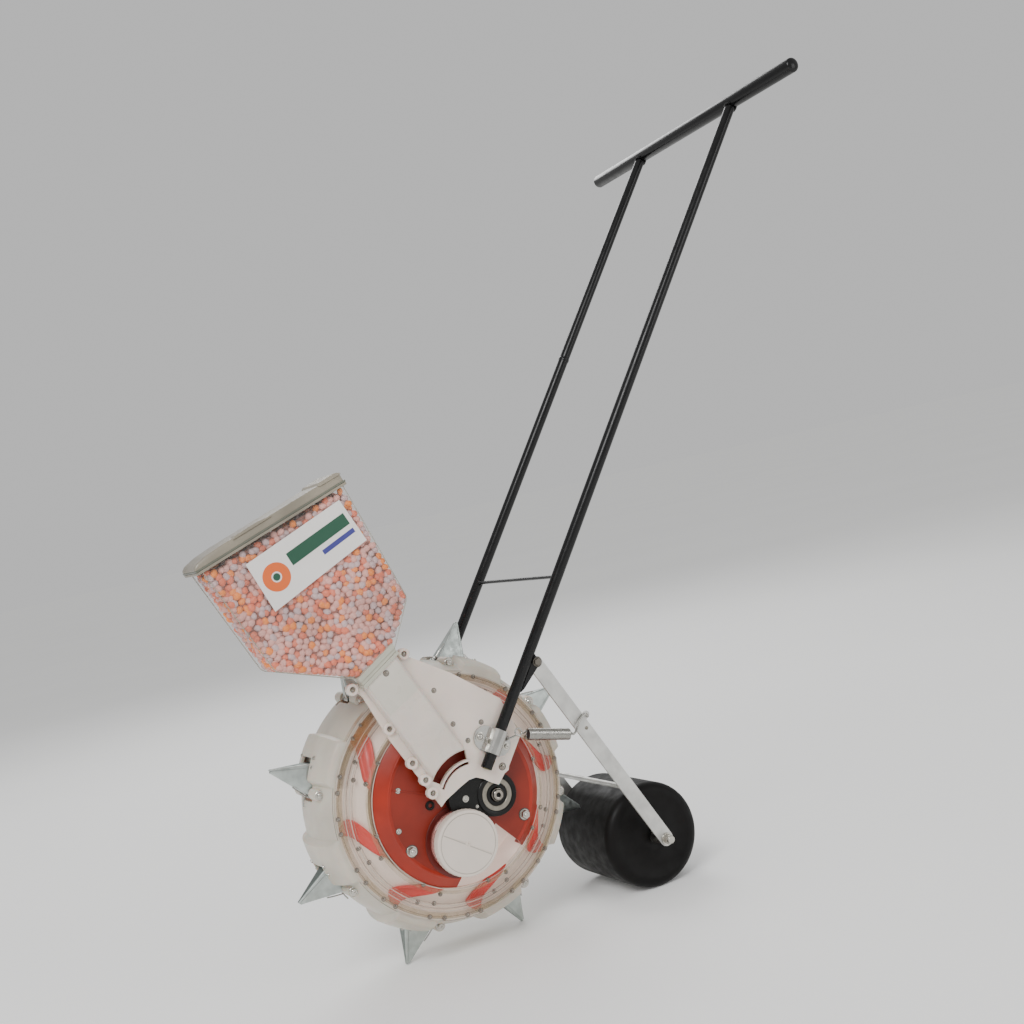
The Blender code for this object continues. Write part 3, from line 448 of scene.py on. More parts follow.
def add_bevel(obj, width):
    modifier = obj.modifiers.new("edges", "BEVEL")
    modifier.width = width * MM
    modifier.segments = 2
    modifier.limit_method = "ANGLE"
    modifier.angle_limit = radians(40)
    modifier.harden_normals = True


def restyle(node, mat, bevel=0.0):
    """A CAD node that stays, with its finish and its edges eased."""
    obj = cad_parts[node]
    obj.data.materials.clear()
    obj.data.materials.append(mat)
    if bevel:
        add_bevel(obj, bevel)


def screw_head(x, z, y, radius=2.6, rise=1.8, out=-1):
    """A pan head standing off a face at y, towards out."""
    steps = [(radius * 1.35, 0), (radius * 1.35, 0.35), (radius, 0.4), (radius * 0.93, rise * 0.6),
             (radius * 0.72, rise * 0.9), (radius * 0.35, rise), (radius * 0.16, rise * 0.72),
             (0.05, rise * 0.7)]
    return knob([(r, y + out * h) for r, h in steps], 20, (x, z))


def screw_shadow_rings(spots):
    """A dark ring painted round each small head as its contact shadow, from (x, z, y, radius, out)."""
    rings = []
    for x, z, y, radius, out in spots:
        rings.append(knob([(radius * 1.75, y - out * 0.3), (radius * 1.7, y + out * 0.12)], 18, (x, z)))
    return rings


def hex_head(x, z, y, across=10.0, height=4.0, out=-1, washer=7.2):
    """A hexagon on a washer, chamfered at its corners."""
    r = across / 2 / cos(pi / 6)
    hexagon = [circle(rr, 6, (x, z), 0.3) for rr in (r, r, r * 0.9)]
    heights = (1.2, height * 0.85, height)
    body = lofted([[(a, y + out * h, b) for a, b in loop] for loop, h in zip(hexagon, heights)])
    disc_edge = [(washer - 0.2, 0), (washer, 0.2), (washer, 1.0), (washer - 0.2, 1.2)]
    return body, knob([(rr, y + out * h) for rr, h in disc_edge], 28, (x, z))


# The handle

POLE_FOOT = Vector((33.0, 0.0, 34.0))
POLE_LEAN = radians(36.5)
POLE_UP = Vector((sin(POLE_LEAN), 0, cos(POLE_LEAN)))
POLE_BACK = Vector((cos(POLE_LEAN), 0, -sin(POLE_LEAN)))
POLE_Y = 137.0
POLE_R = 8.0
POLE_LENGTH = 1087.5
ROD_HEIGHT = 287.0
CLAMP_FACE = 128.8


def along_pole(s, n=0.0, y=-POLE_Y):
    point = POLE_FOOT + POLE_UP * s + POLE_BACK * n
    return Vector((point.x, y, point.z))


def make_handle():
    """The T handle: grip, two poles welded under it, and the thin rod between them."""
    lo, hi = local("handle_bar")
    cx, cz, r = (lo.x + hi.x) / 2, (lo.z + hi.z) / 2, (hi.x - lo.x) / 2
    half = hi.y
    profile = [(0.4, -half)] + [(r * sin(t), -half + 5 * (1 - cos(t))) for t in (0.5, 0.9, 1.25, pi / 2)]
    profile += [(a, -b) for a, b in reversed(profile)]
    piece("grip_bar", ENAMEL, "frame", knob(profile, 64, (cx, cz)), instead=["handle_bar"])
    for side, name in SIDES:
        y = side * POLE_Y
        top = along_pole(POLE_LENGTH, 0, y)
        foot = along_pole(0, 0, y)
        wall = [(0.0, 6.5), (0.0, 7.8), (0.3, POLE_R), (POLE_LENGTH - 1.5, POLE_R)]
        bore = tube(along_pole(40, 0, y), along_pole(-0.02, 0, y), [(0, 6.4), (40.02, 6.4)])
        outer = tube(foot, top, wall)
        beads = []
        for i in range(40):
            t = 2 * pi * i / 40
            bead = 1.7 + 0.25 * sin(7 * t)
            px, py = (POLE_R + 0.7) * cos(t), (POLE_R + 0.7) * sin(t)
            lift = (r ** 2 - min(abs(py), r - 0.5) ** 2) ** 0.5
            base = Vector((cx, y, cz)) - POLE_UP * (lift + 0.2) + POLE_BACK * px
            spot = base + Vector((0, py, 0))
            beads.append(wire([spot - POLE_UP * bead, spot, spot + POLE_UP * bead], bead, 8))
        piece(f"{name}_pole_tube", ENAMEL, "frame", outer, *beads, instead=[f"{name}_handle_pole"])
        # A dark core in the pole's open end: painted shade.
        piece(f"{name}_pole_bore", HOLE_SHADE, "frame", bore)
    seam = along_pole(690, 0, POLE_Y)
    bead = [(0, 8.1), (1.5, 8.7), (4.5, 8.7), (6, 8.1)]
    piece("pole_seam", ENAMEL, "frame", tube(seam, seam + POLE_UP * 6, bead))
    rod = along_pole(ROD_HEIGHT)
    rod_path = [(rod.x, -131, rod.z), (rod.x, 131, rod.z)]
    ends = [tube((rod.x, s * 123, rod.z), (rod.x, s * 130.5, rod.z), [(0, 2.6), (3, 3.0), (7.5, 4.6)], 20)
            for s in (-1, 1)]
    piece("pole_rod", ENAMEL, "frame", wire(rod_path, 2.5, 20), *ends, instead=["pole_cross_rod"])


CLAMP_SCREWS = [(37.0, -23.1, 4.4), (39.3, 18.9, 3.6)]


def make_clamps():
    """The clamp at the foot of each pole, its screws and the pole's plug."""
    for side, name in SIDES:
        shapes = []
        for s, n, size in CLAMP_SCREWS:
            spot = along_pole(s, n)
            parts = [screw_head(spot.x, spot.z, -CLAMP_FACE - 3.9, size, 3.0)]
            washer = [(size * 1.5, 3.1), (size * 1.5, 4.0), (size * 1.4, 4.2)]
            parts.append(knob([(r, -CLAMP_FACE - h) for r, h in washer], 28, (spot.x, spot.z)))
            shapes += sided(side, *parts)
        piece(f"{name}_clamp_screws", STEEL, "frame", *shapes,
              instead=[f"{name}_clamp_bolt_front", f"{name}_clamp_bolt_rear"])
        restyle(f"{name}_clamp", CAST, 1.0)
        y = side * POLE_Y
        end = tube(along_pole(0.4, 0, y), along_pole(-0.6, 0, y), [(0, 5.4), (1, 5.4)], 32)
        piece(f"{name}_pole_plug", PLUG, "frame", end)


# The drum

HINGE = (182.5, 22.0)


def tread_radius(y):
    return 187.5 - 1.5 * (abs(y) / 25.0) ** 2.3


def make_tread():
    """The crowned tread with its raised pads, and the slots that the spikes stand in."""
    ys = [-69, -68.2, -66.5, -64, -58, -50, -41, -32, -25, -20]
    ys += [-14, -7, 0, 7, 14] + [-y for y in reversed(ys)]
    stations = []
    steps = [(-18.6, 0), (-18.3, 0.12), (-17.2, 0.9), (-16.8, 1)] + [(-15.3 + 1.3 * i, 1) for i in range(6)]
    steps += [(-7.5, 1), (-5.5, 1), (-3.5, 1), (-1.5, 1), (1.4, 1), (1.8, 0.9), (3.0, 0.12), (3.4, 0)]
    steps += [(5.2, 0), (7.0, 0), (8.8, 0), (10.5, 0)] + [(12.4 + 2.0 * i, 0) for i in range(7)]
    for spike in SPIKES:
        stations += [(spike + turn, pad, -7.6 < turn < 10.4) for turn, pad in steps]
    n, m = len(ys), len(stations)
    verts, faces = [], []

    def rise(y):
        return 9.0 * min(1.0, max(0.0, (69.0 - abs(y)) / 3.0)) if abs(y) > 66 else 9.0

    for turn, pad, _ in stations:
        c, s = cos(radians(turn)), sin(radians(turn))
        for y in ys:
            r = (171.5 + (69 - abs(y)) * 0.8 if abs(y) > 66 else tread_radius(y)) + rise(y) * pad
            verts.append((r * c, y, r * s))
        for y in ys:
            r = tread_radius(y) - 3.6 + 9.0 * pad * (abs(y) < 66.4)
            verts.append((r * c, y, r * s))
    open_cells = [j for j in range(n - 1) if -20.5 < ys[j] and ys[j + 1] < 20.5]
    for i in range(m):
        a, b = i * 2 * n, (i + 1) % m * 2 * n
        slot, before = stations[i][2], stations[i - 1][2]
        for j in range(n - 1):
            if slot and j in open_cells:
                continue
            faces.append((a + j, b + j, b + j + 1, a + j + 1))
            faces.append((a + n + j, a + n + j + 1, b + n + j + 1, b + n + j))
        for j in (0, n - 1):
            faces.append((a + j, b + j, b + n + j, a + n + j))
        if slot:
            for j in (open_cells[0], open_cells[-1] + 1):
                faces.append((a + j, b + j, b + n + j, a + n + j))
        if slot != before:
            for j in open_cells:
                faces.append((a + j, a + j + 1, a + n + j + 1, a + n + j))
    piece("tread", TREAD, "wheel", (verts, faces), instead=["drum_rim"], sharp=32)
    bosses, washers, bolts, nuts = [], [], [], []
    for spike in SPIKES:
        for side in (-1, 1):
            for shape, group in (
                (knob([(8.4, 20.4), (8.2, 44.5), (7.6, 45.6)], 32, HINGE, 0.4), bosses),
                (knob([(6.6, 45.4), (6.6, 46.8), (6.2, 47.1)], 28, HINGE), washers),
                (knob([(4.4, 47), (4.3, 49.2), (3.2, 50.2), (1.4, 50.3), (1.0, 49.4)], 24, HINGE), bolts),
            ):
                group.append(turned(shape if side > 0 else flipped(shape), spike))
            for v in (-26.0, -13.0):
                nut = knob([(3.6, 0), (3.6, 0.8), (2.6, 0.9), (2.5, 2.2), (1.6, 2.8)], 16)
                u = tread_radius(26) + 8.8 - abs(v) * 0.04
                lifted = [(u - 1.6 + y, side * 27.0 + x, v + z) for x, y, z in nut[0]], nut[1]
                nuts.append(turned(lifted, spike))
    piece("hinge_bosses", TREAD, "wheel", *bosses)
    piece("hinge_washers", STEEL, "wheel", *washers, *bolts, *nuts)


COVER_SCREWS = ((168, -21), (167.5, -2.5), (168, 5), (168, 17), (151.5, -11), (148.5, -2), (134, -1),
                (126.5, -14.5))


def make_covers():
    """The clear left cover with its rings and stains, the right cover, and the web inside."""
    cone = [(150, -75.0), (126, -92.8), (124.8, -93.5), (124.8, -90.5), (149.5, -72.3)]
    brim = [(171, -69.3), (171, -72.3), (168.5, -73.0), (166, -72.3), (161, -72.3), (159.6, -73.6),
            (157.4, -73.6), (156, -72.3), (153.4, -72.3), (152, -74.4), (150, -75.0), (149.5, -72.3),
            (151, -69.3)]
    piece("left_cover", COVER, "wheel", ring(cone, 160, soft=0.5), instead=["drum_left_cover"])
    piece("left_flange", FLANGE_MILKY, "wheel", ring(brim, 160, soft=0.4))
    ridges = [ring([(r - w, y), (r, y - 0.5), (r + w, y), (r, y + 0.4)], 160) for r, y, w in
              ((170.2, -72.9, 0.8), (158.5, -73.7, 0.6), (151.2, -75.0, 0.7), (125.6, -93.3, 0.7))]
    piece("cover_ridges", RIDGE, "wheel", *ridges)
    # Darker rings laid in the cover's grooves and steps are painted shade.
    grooves = [ring([(r - w, y), (r + w, y), (r + w, y + 0.3), (r - w, y + 0.3)], 160) for r, y, w in
               ((172.6, -68.0, 0.7), (166.2, -72.5, 0.45), (155.0, -72.6, 0.6), (148.2, -76.6, 0.5))]
    piece("cover_groove_shading", GROOVE_SHADE, "wheel", *grooves)
    # A glowing off-white lining just behind the cover: painted light that brightens the drum's inside.
    lining = [(170.5, -61), (152, -61), (130, -76.5), (126.6, -79), (126.6, -76), (151.5, -58), (170.5, -58)]
    piece("cover_lining", WEB_GLOW, "wheel", ring(lining, 128))
    brim_patch = [(153, -73.9), (170, -73.9), (170, -73.7), (153, -73.7)]
    edge_patch = [(173, -66.9), (176.5, -66.9), (176.5, -66.7), (173, -66.7)]
    piece("amber_stain", AMBER, "wheel", sector_ring(brim_patch, 110, 160, 30),
          sector_ring(edge_patch, 108, 160, 30))
    brim_film = [(161, -72.9), (169, -73.1), (169, -72.9), (161, -72.7)]
    cone_film = [(127.5, -92.9), (133, -88.9), (133, -88.7), (127.5, -92.7)]
    piece("olive_stain", OLIVE, "wheel", ring(brim_film, 128), ring(cone_film, 128))
    far = [(171, 69.3), (171, 72.3), (168.5, 73.0), (166, 72.3), (156.5, 72.3), (154, 74.5), (150, 76.0),
           (123, 95), (96, 95), (94, 93.6), (44, 93.6), (42, 95), (27, 95), (25, 97), (24, 102),
           (10.3, 102), (10.3, 60), (22, 60), (22, 92), (121, 92), (150, 69.3)]
    ribs = []
    for k in range(16):
        shape = prism([(44, -1.6), (94, -1.6), (94, 1.6), (44, 1.6)], 93.4, 95.4)
        ribs.append(turned(shape, 22.5 * k))
    piece("right_cover", TREAD, "wheel", ring(far, 144, soft=0.6), *ribs, instead=["drum_right_cover"])
    # The web glows a little: painted light.
    piece("inner_web", WEB_GLOW, "wheel", ring([(21, 60.5), (183, 30), (183, 33), (21, 63.5)], 96))
    heads, rings = [], []
    for spike in SPIKES:
        for r, turn in COVER_SCREWS:
            y = -72.9 - (0.0 if r > 152 else (152 - r) * 0.735)
            x, z = r * cos(radians(spike + turn)), r * sin(radians(spike + turn))
            heads.append(screw_head(x, z, y - 0.5, 1.9, 2.3))
            rings.append((x, z, y - 0.4, 1.95, -1))
            if r > 152:
                heads.append(screw_head(x, z, 72.6, 1.9, 1.9, 1))
                rings.append((x, z, 72.6, 1.9, 1))
    piece("cover_screws", SCREW, "wheel", *heads)
    # The dark rings round the cover screws are painted shadow.
    piece("cover_screw_shadows", PAINTED_SCREW_SHADOW, "wheel", *screw_shadow_rings(rings))


VANE_LEADING = [(126.5, 2), (134, -2.5), (141, -9), (149, -15), (158, -18.5), (166, -19.5)]
VANE_TRAILING = [(126.5, -13), (131, -17), (139, -22.5), (148, -26), (157, -26), (166, -23)]


def fine(points, steps=5):
    return [(p.x, p.y) for p in smooth_path([(a, b, 0) for a, b in points], steps)]


def make_vanes():
    """Curved scoops, hollowed a little, that stand just behind the cover."""
    shapes = []
    leading, trailing = fine(VANE_LEADING), fine(VANE_TRAILING)
    across = [(0.0, 0.0), (0.0, 1.0), (0.03, 0.3), (0.09, 0.0), (0.2, 0.5), (0.38, 2.2), (0.6, 3.2),
              (0.8, 1.6), (0.91, 0.0), (0.97, 0.3), (1.0, 1.0), (1.0, 0.0)]
    m = len(across)
    for spike in SPIKES:
        verts, faces = [], []
        for i, ((r0, t0), (r1, t1)) in enumerate(zip(leading, trailing)):
            pinch = 1.0 if 0 < i < len(leading) - 1 else 0.4
            for k, (f, sink) in enumerate(across):
                r, turn = r0 + (r1 - r0) * f, radians(spike + t0 + (t1 - t0) * f)
                near = -68.6 - max(0.0, 151.0 - r) * 0.72
                y = -57.0 if k in (0, m - 1) else near + sink * pinch
                verts.append((r * cos(turn), y, r * sin(turn)))
        n = len(leading)
        for i in range(n - 1):
            a, b = i * m, (i + 1) * m
            faces += [(a + j, b + j, b + j + 1, a + j + 1) for j in range(m - 1)]
        faces += [tuple(range(m)), tuple(range((n - 1) * m, n * m))]
        shapes.append((verts, faces))
    # The scoops' glow is painted light.
    piece("scoops", VANE, "wheel", *shapes, instead=["seed_vanes"], sharp=50)


JAW = 1.3


def jaw_lines(u):
    down = 245.0 - u
    return -2.2 - 0.29 * down, -0.3 - 0.22 * down, 2.2 + 0.4 * down, 2.6 + 0.2 * down


def channel(u, web, edge, sign):
    """A bent sheet's section at u: its web, its two sides, and a rounded bend between them."""
    half = jaw_lines(u)[3]
    bend = min(2.2, half * 0.5, abs(edge - web) * 0.45)
    outer = [(edge, -half)]
    corners = ((web, -half), (web, half))
    for (v, y), s in zip(corners, (-1, 1)):
        steps = [(v + sign * bend * (1 - sin(t)), s * (half - bend + bend * cos(t))) for t in
                 (0.0, 0.4, 0.8, 1.2, pi / 2)]
        outer += steps if s < 0 else steps[::-1]
    outer.append((edge, half))
    inner = []
    for v, y in reversed(outer):
        scale = (half - JAW) / half
        inner.append((max(v * sign, web * sign + JAW) * sign, y * scale))
    return [(u, y, v) for v, y in outer + inner]


def make_spikes():
    """Each spike: a fixed channel, a hinged flap and the spring on its pin."""
    us_fixed = [174 + (245 - 174) * k / 10 for k in range(11)]
    us_moving = [184 + (243.5 - 184) * k / 10 for k in range(11)]
    fixed = lofted([channel(u, jaw_lines(u)[0], jaw_lines(u)[1], 1) for u in us_fixed])
    foot = prism(softened([(185.3, -29), (187, -29), (187, -15.5), (185.3, -15.5)], 0.4), -27, 27)
    moving = lofted([channel(u, jaw_lines(u)[2], jaw_lines(u)[1] + 0.4, -1) for u in us_moving])
    # A thin strip on the back of the fixed channel's web, in the darker zinc: painted shade.
    strip = []
    for u in us_fixed[2:]:
        web, _, _, half = jaw_lines(u)
        w = max(0.3, half - min(2.2, half * 0.5))
        strip.append([(u, -w, web - 0.12), (u, w, web - 0.12), (u, w, web + 0.1), (u, -w, web + 0.1)])
    back = lofted(strip)
    barrel = knob([(5.0, -19.4), (5.4, -19.0), (5.4, 19.0), (5.0, 19.4)], 32, HINGE)
    coil = []
    for i in range(100):
        t = i / 99
        a = t * 2 * pi * 5 + 0.4
        coil.append((HINGE[0] + 7.4 * cos(a), -9.0 + 11.0 * t, HINGE[1] + 7.4 * sin(a)))
    lead = [coil[0], (190, -9.4, 27.5), (203, -9.0, 21.5), (211, -8.0, 17.2)]
    tail = [coil[-1], (188, 3, 31), (187.4, 4, 37), (186.2, 5, 43)]
    spring = wire(coil, 1.0, 8)
    spring_ends = [wire(smooth_path(lead), 1.0, 8), wire(smooth_path(tail), 1.0, 8)]
    for k, angle in enumerate(SPIKES, start=1):
        piece(f"spike_{k}_channel", GALV, "wheel", turned(fixed, angle), turned(foot, angle),
              instead=[f"spike_{k}_fixed_jaw"], sharp=30)
        # The web strip in the darker zinc is painted shade.
        piece(f"spike_{k}_web", GALV_PAINTED_SHADE, "wheel", turned(back, angle))
        piece(f"spike_{k}_flap", GALV, f"jaw_{k}", turned(moving, angle), turned(barrel, angle),
              instead=[f"spike_{k}_moving_jaw"], sharp=30)
        coils = piece(f"spike_{k}_spring", SPRING, None, *[turned(s, angle) for s in (spring, *spring_ends)])
        ends = turned(([(185.5, -9.0, 29.7), (194.0, -9.0, 25.7)], []), angle)[0]
        at(*ends[0])
        at(*ends[1])
        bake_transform(coils)


# The seed side

HOUSING_Y = -108.0
CAP = Vector((-17.0, 0.0, -55.5))
METER = Vector((46.5, 0.0, -8.0))
PLATE_FACE = -128.5
CHUTE_TOP = Vector((-90.4, 0.0, 212.0))
CHUTE_FOOT = Vector((-19.2, 0.0, 56.8))
CHUTE_RUN = (CHUTE_FOOT - CHUTE_TOP).normalized()
CHUTE_ACROSS = Vector((-CHUTE_RUN.z, 0, CHUTE_RUN.x))
BOSSES = ((-88, 123), (-67, 70), (-54, 43), (-48, 23), (-126, 187), (-45, 215))


def sector_ring(profile, start_deg, end_deg, steps):
    """A closed (radius, y) profile swept part of the way round Y."""
    loops = []
    for i in range(steps + 1):
        t = radians(start_deg + (end_deg - start_deg) * i / steps)
        loops.append([(r * cos(t), y, r * sin(t)) for r, y in profile])
    return lofted(loops)


def make_housing():
    """The red housing: its rim, its cut-out face and its bolts."""
    face = HOUSING_Y
    rim = [(104, face + 3), (104, face + 0.2), (106.3, face), (107.2, face - 0.7), (109.2, face - 0.5),
           (110.3, face + 1.4), (122.8, -93.4), (124, -92.4), (124, -89.6), (123.2, -89), (120.5, -89),
           (120.5, -42), (117.5, -42), (117.5, -91), (109.2, face + 4.5)]
    sweep = sector_ring(softened(rim, 0.5, 2), -50, 256, 120)
    # The rim in the lighter red is painted light.
    piece("housing_rim", RIM_RED_LIT, "frame", sweep, instead=["seed_housing"])
    window = [(-14, -21), (14, -21), (14, 21), (-14, 21)]
    middle = CHUTE_FOOT - CHUTE_RUN * 28
    outline = arc(104.2, -50, 256, 100) + arc(64, -104, -50, 12)
    solid = piece("housing_plate", RED, "frame", prism(outline, face, face + 3))
    cuts = [disc(40.6, face - 5, face + 8, CAP.xz), disc(9.6, face - 5, face + 8, METER.xz),
            disc(12.0, face - 5, face + 8),
            prism([(middle + CHUTE_RUN * a + CHUTE_ACROSS * b).xz for a, b in window], face - 5, face + 8)]
    carve(solid, cuts)
    # A dark arc round the neck over the red face: painted shadow.
    shadow_arc = arc(50.5, 40, 256, 36, CAP.xz) + arc(43.4, 256, 40, 36, CAP.xz)
    piece("neck_shadow", NECK_SHADOW, "frame", prism(shadow_arc, face - 1.6, face - 0.1), bevel=0.6)
    ribs = []
    for a, length in ((158, 52), (127, 60), (-128, 30)):
        bar = [(104 - length, -1.1), (103.5, -1.1), (103.5, 1.1), (104 - length, 1.1)]
        ribs.append(turned(prism(bar, face - 0.9, face + 1), a))
    piece("housing_ribs", RED, "frame", *ribs, bevel=0.4)
    # The housing's back and the apron below the cut-out glow: painted light that fills the shaded inside.
    back = ring([(12, -61.5), (117, -61.5), (117, -42), (12, -42)], 96)
    apron = sector_ring([(110, -62.5), (123.2, -88.0), (123.2, -84.5), (112, -60)], -107, -47, 24)
    piece("housing_back", HOUSING_INSIDE_GLOW, "frame", back, apron)
    spots = ((-99.2, -17.2), (-87.8, 35.7), (-24.4, -100), (-11.0, 4.2), (-38, -84))
    piece("housing_screws", STEEL, "frame", *[screw_head(x, z, face - 0.2, 2.6, 2.4) for x, z in spots])
    # The dark rings round the housing screws are painted shadow.
    shadows = screw_shadow_rings([(x, z, face - 0.2, 2.5, -1) for x, z in spots])
    piece("housing_screw_shadows", PAINTED_SCREW_SHADOW, "frame", *shadows)
    port = [(3.0, face + 0.5), (3.0, face - 2.2), (6.2, face - 2.2), (6.8, face + 0.5)]
    port = ring(port, 32, (-47.8, 3.4), 0.4)
    piece("housing_port", CASE, "frame", port)
    for k, a in enumerate((90.0, -151.0, -30.0), start=1):
        x, z = 100 * cos(radians(a)), 100 * sin(radians(a))
        piece(f"big_bolt_{k}", STEEL, "frame", *hex_head(x, z, face - 0.3, 11.0, 6.0, washer=7.6),
              knob([(2.6, face - 6), (2.6, face - 7.4), (1.9, face - 8)], 20, (x, z)),
              instead=[f"housing_bolt_{k}"])
        # The dark ring round each big bolt is painted shadow.
        piece(f"big_bolt_{k}_ring", PAINTED_SCREW_SHADOW, "frame",
              knob([(8.9, face - 0.05), (8.9, face - 0.35), (8.7, face - 0.4)], 28, (x, z)))


def carve(obj, shapes):
    """Cuts the shapes out of a piece's mesh."""
    for shape in shapes:
        tool = placed("cutter", mesh_of("cutter", shape))
        step = obj.modifiers.new("cut", "BOOLEAN")
        step.operation = "DIFFERENCE"
        step.solver = "EXACT"
        step.object = tool
        bpy.context.view_layer.update()
        graph = bpy.context.evaluated_depsgraph_get()
        result = bpy.data.meshes.new_from_object(obj.evaluated_get(graph))
        obj.modifiers.clear()
        obj.data = result
        bpy.data.objects.remove(tool)
    obj.data.set_sharp_from_angle(angle=radians(30))


def make_clean_out():
    """The threaded neck and its screw cap."""
    base = HOUSING_Y - 0.3
    neck = [(43, base), (43, base - 3), (42.2, base - 4)]
    for k in range(3):
        y = base - 6 - 4.5 * k
        neck += [(42.0, y + 1), (43.4, y), (43.4, y - 0.8), (42.0, y - 1.8)]
    neck += [(41.2, -126.4), (41.2, -131), (38.5, -131), (38.5, base)]
    piece("neck_thread", NECK, "frame", ring(neck, 96, CAP.xz, 0.3), instead=["clean_out_neck"])
    front, back = -140.0, -126.0
    shell = [(45.0, back), (45.2, back - 1), (45.0, front + 1.8), (44.4, front + 0.5), (43.4, front),
             (41.0, front), (40.0, front + 0.9), (3.2, front + 0.9), (2.6, front + 0.1), (1.1, front + 0.1),
             (0.8, front + 1.4), (0.2, front + 1.4)]
    inner = [(0.2, front + 5), (42.3, front + 5), (42.3, back)]
    lean = radians(-36)

    def on_cap(s, b):
        """A point s along the line across the cap and b to its side."""
        return CAP.x + s * cos(lean) - b * sin(lean), CAP.z + s * sin(lean) + b * cos(lean)

    bar = []
    for s0, s1 in ((-39.0, -4.2), (4.2, 39.0)):
        loops = []
        for s in (s0, s0 + 1.5, s1 - 1.5, s1):
            rise = 0.1 if s in (s0, s1) else 1.0
            crest = front + 1.0 - rise
            edge = [(-1.9, front + 1.0), (-0.5, crest), (0.5, crest), (1.9, front + 1.0)]
            loops.append([(on_cap(s, b)[0], y, on_cap(s, b)[1]) for b, y in edge])
        bar.append(lofted(loops))
    grips = []
    for k in range(48):
        t = 2 * pi * k / 48
        x, z = CAP.x + 44.9 * cos(t), CAP.z + 44.9 * sin(t)
        grips.append(wire([(x, back - 0.6, z), (x, front + 2.6, z)], 0.75, 6))
    # Dark strips along the lower side of the ridge and a dark ring in the rim groove: painted shadow.
    line = []
    for s0, s1 in ((-38.5, -3.6), (3.6, 38.5)):
        edge = [(s0, -2.9), (s1, -2.9), (s1, -1.4), (s0, -1.4)]
        line.append(prism([on_cap(s, b) for s, b in edge], front + 0.75, front + 1.0))
    groove_shadow_ring = [(39.6, front + 0.85), (40.6, front + 0.2), (40.6, front + 1.0), (39.6, front + 1.0)]
    line.append(ring(groove_shadow_ring, 96, CAP.xz))
    piece("cap_shadow_lines", CAP_SHADOW, "cap", *line)
    piece("screw_cap", CAPWHITE, "cap", ring(shell + inner, 96, CAP.xz), *bar, *grips,
          instead=["clean_out_cap"])


def make_drive():
    """The black drive case, its bearing and the metering shaft."""
    restyle("drive_case", CASE, 0.6)
    centre = METER.xz
    rim = [(22.9, -121.8), (22.9, -123.0), (23.6, -123.4), (28.6, -123.4), (29.4, -122.6), (29.4, -121.8)]
    piece("case_rim", CASE, "frame", ring(rim, 80, centre))
    piece("case_screws", STEEL, "frame", screw_head(0.0, -0.4, -121.7, 3.4, 1.4),
          screw_head(14.2, -15.3, -121.7, 1.7, 1.0))
    outer = [(22.5, -111), (22.5, -122.2), (22.1, -122.6), (16.2, -122.6), (15.5, -122.0), (15.5, -111)]
    seal = [(15.4, -111), (15.4, -121.0), (10.2, -121.4), (10.2, -111)]
    piece("bearing_race", DULL, "frame", ring(outer, 80, centre), instead=["shaft_bearing"])
    piece("bearing_seal", CASE, "frame", ring(seal, 72, centre))
    shaft = [(3.0, -126.6), (3.4, -127.6), (4.6, -128.0), (6.6, -128.0), (7.2, -127.4), (7.2, -126.0),
             (8.6, -125.6), (9.2, -124.8), (9.2, -112.0), (9.0, -106.5), (6.0, -106.5), (6.0, -56.0),
             (1.0, -56.0), (1.0, -110.0), (3.0, -110.0)]
    piece("meter_shaft", SCREW, "metering", ring(shaft, 56, centre), instead=["metering_shaft"])
    # A black ring in the shaft's groove and a black disc in its bore: painted shade.
    groove = [(7.3, -126.2), (8.3, -126.0), (8.3, -125.6), (7.3, -125.6)]
    piece("shaft_groove_shade", CASE, "metering", ring(groove, 48, centre), disc(2.9, -124.6, -124.2, centre, 24))
    restyle("metering_wheel", RED, 0.5)


def make_axle():
    """The drum's axle, its nut and the bearing on the right."""
    profile = [(8.6, -115.5), (10, -114.2), (10, 131.5), (7.5, 131.5), (7.5, 140.2), (6.7, 141)]
    piece("axle_bar", STEEL, "wheel", knob(profile, 48), instead=["drum_axle"])
    body = hex_head(0, 0, 131.8, 21.0, 6.6, 1, 12.0)[0]
    piece("axle_hex", STEEL, "wheel", body, instead=["axle_nut"])
    races = [(20, 120), (20, 131), (17.4, 131), (17.0, 130.2), (13.4, 130.2), (13.0, 131), (10.2, 131),
             (10.2, 120)]
    piece("right_bearing", DULL, "frame", ring(races, 72, soft=0.3), instead=["axle_bearing"])


def chute_point(s, n):
    point = CHUTE_TOP + CHUTE_RUN * s + CHUTE_ACROSS * n
    return point.x, point.z


def chute_end(n):
    """How far down the chute ends at n across it: on a circle round the plate's arc windows."""
    centre = Vector((2.5, 0.0, 3.8)) - CHUTE_TOP
    return centre.dot(CHUTE_RUN) - (66.0 ** 2 - (n - centre.dot(CHUTE_ACROSS)) ** 2) ** 0.5


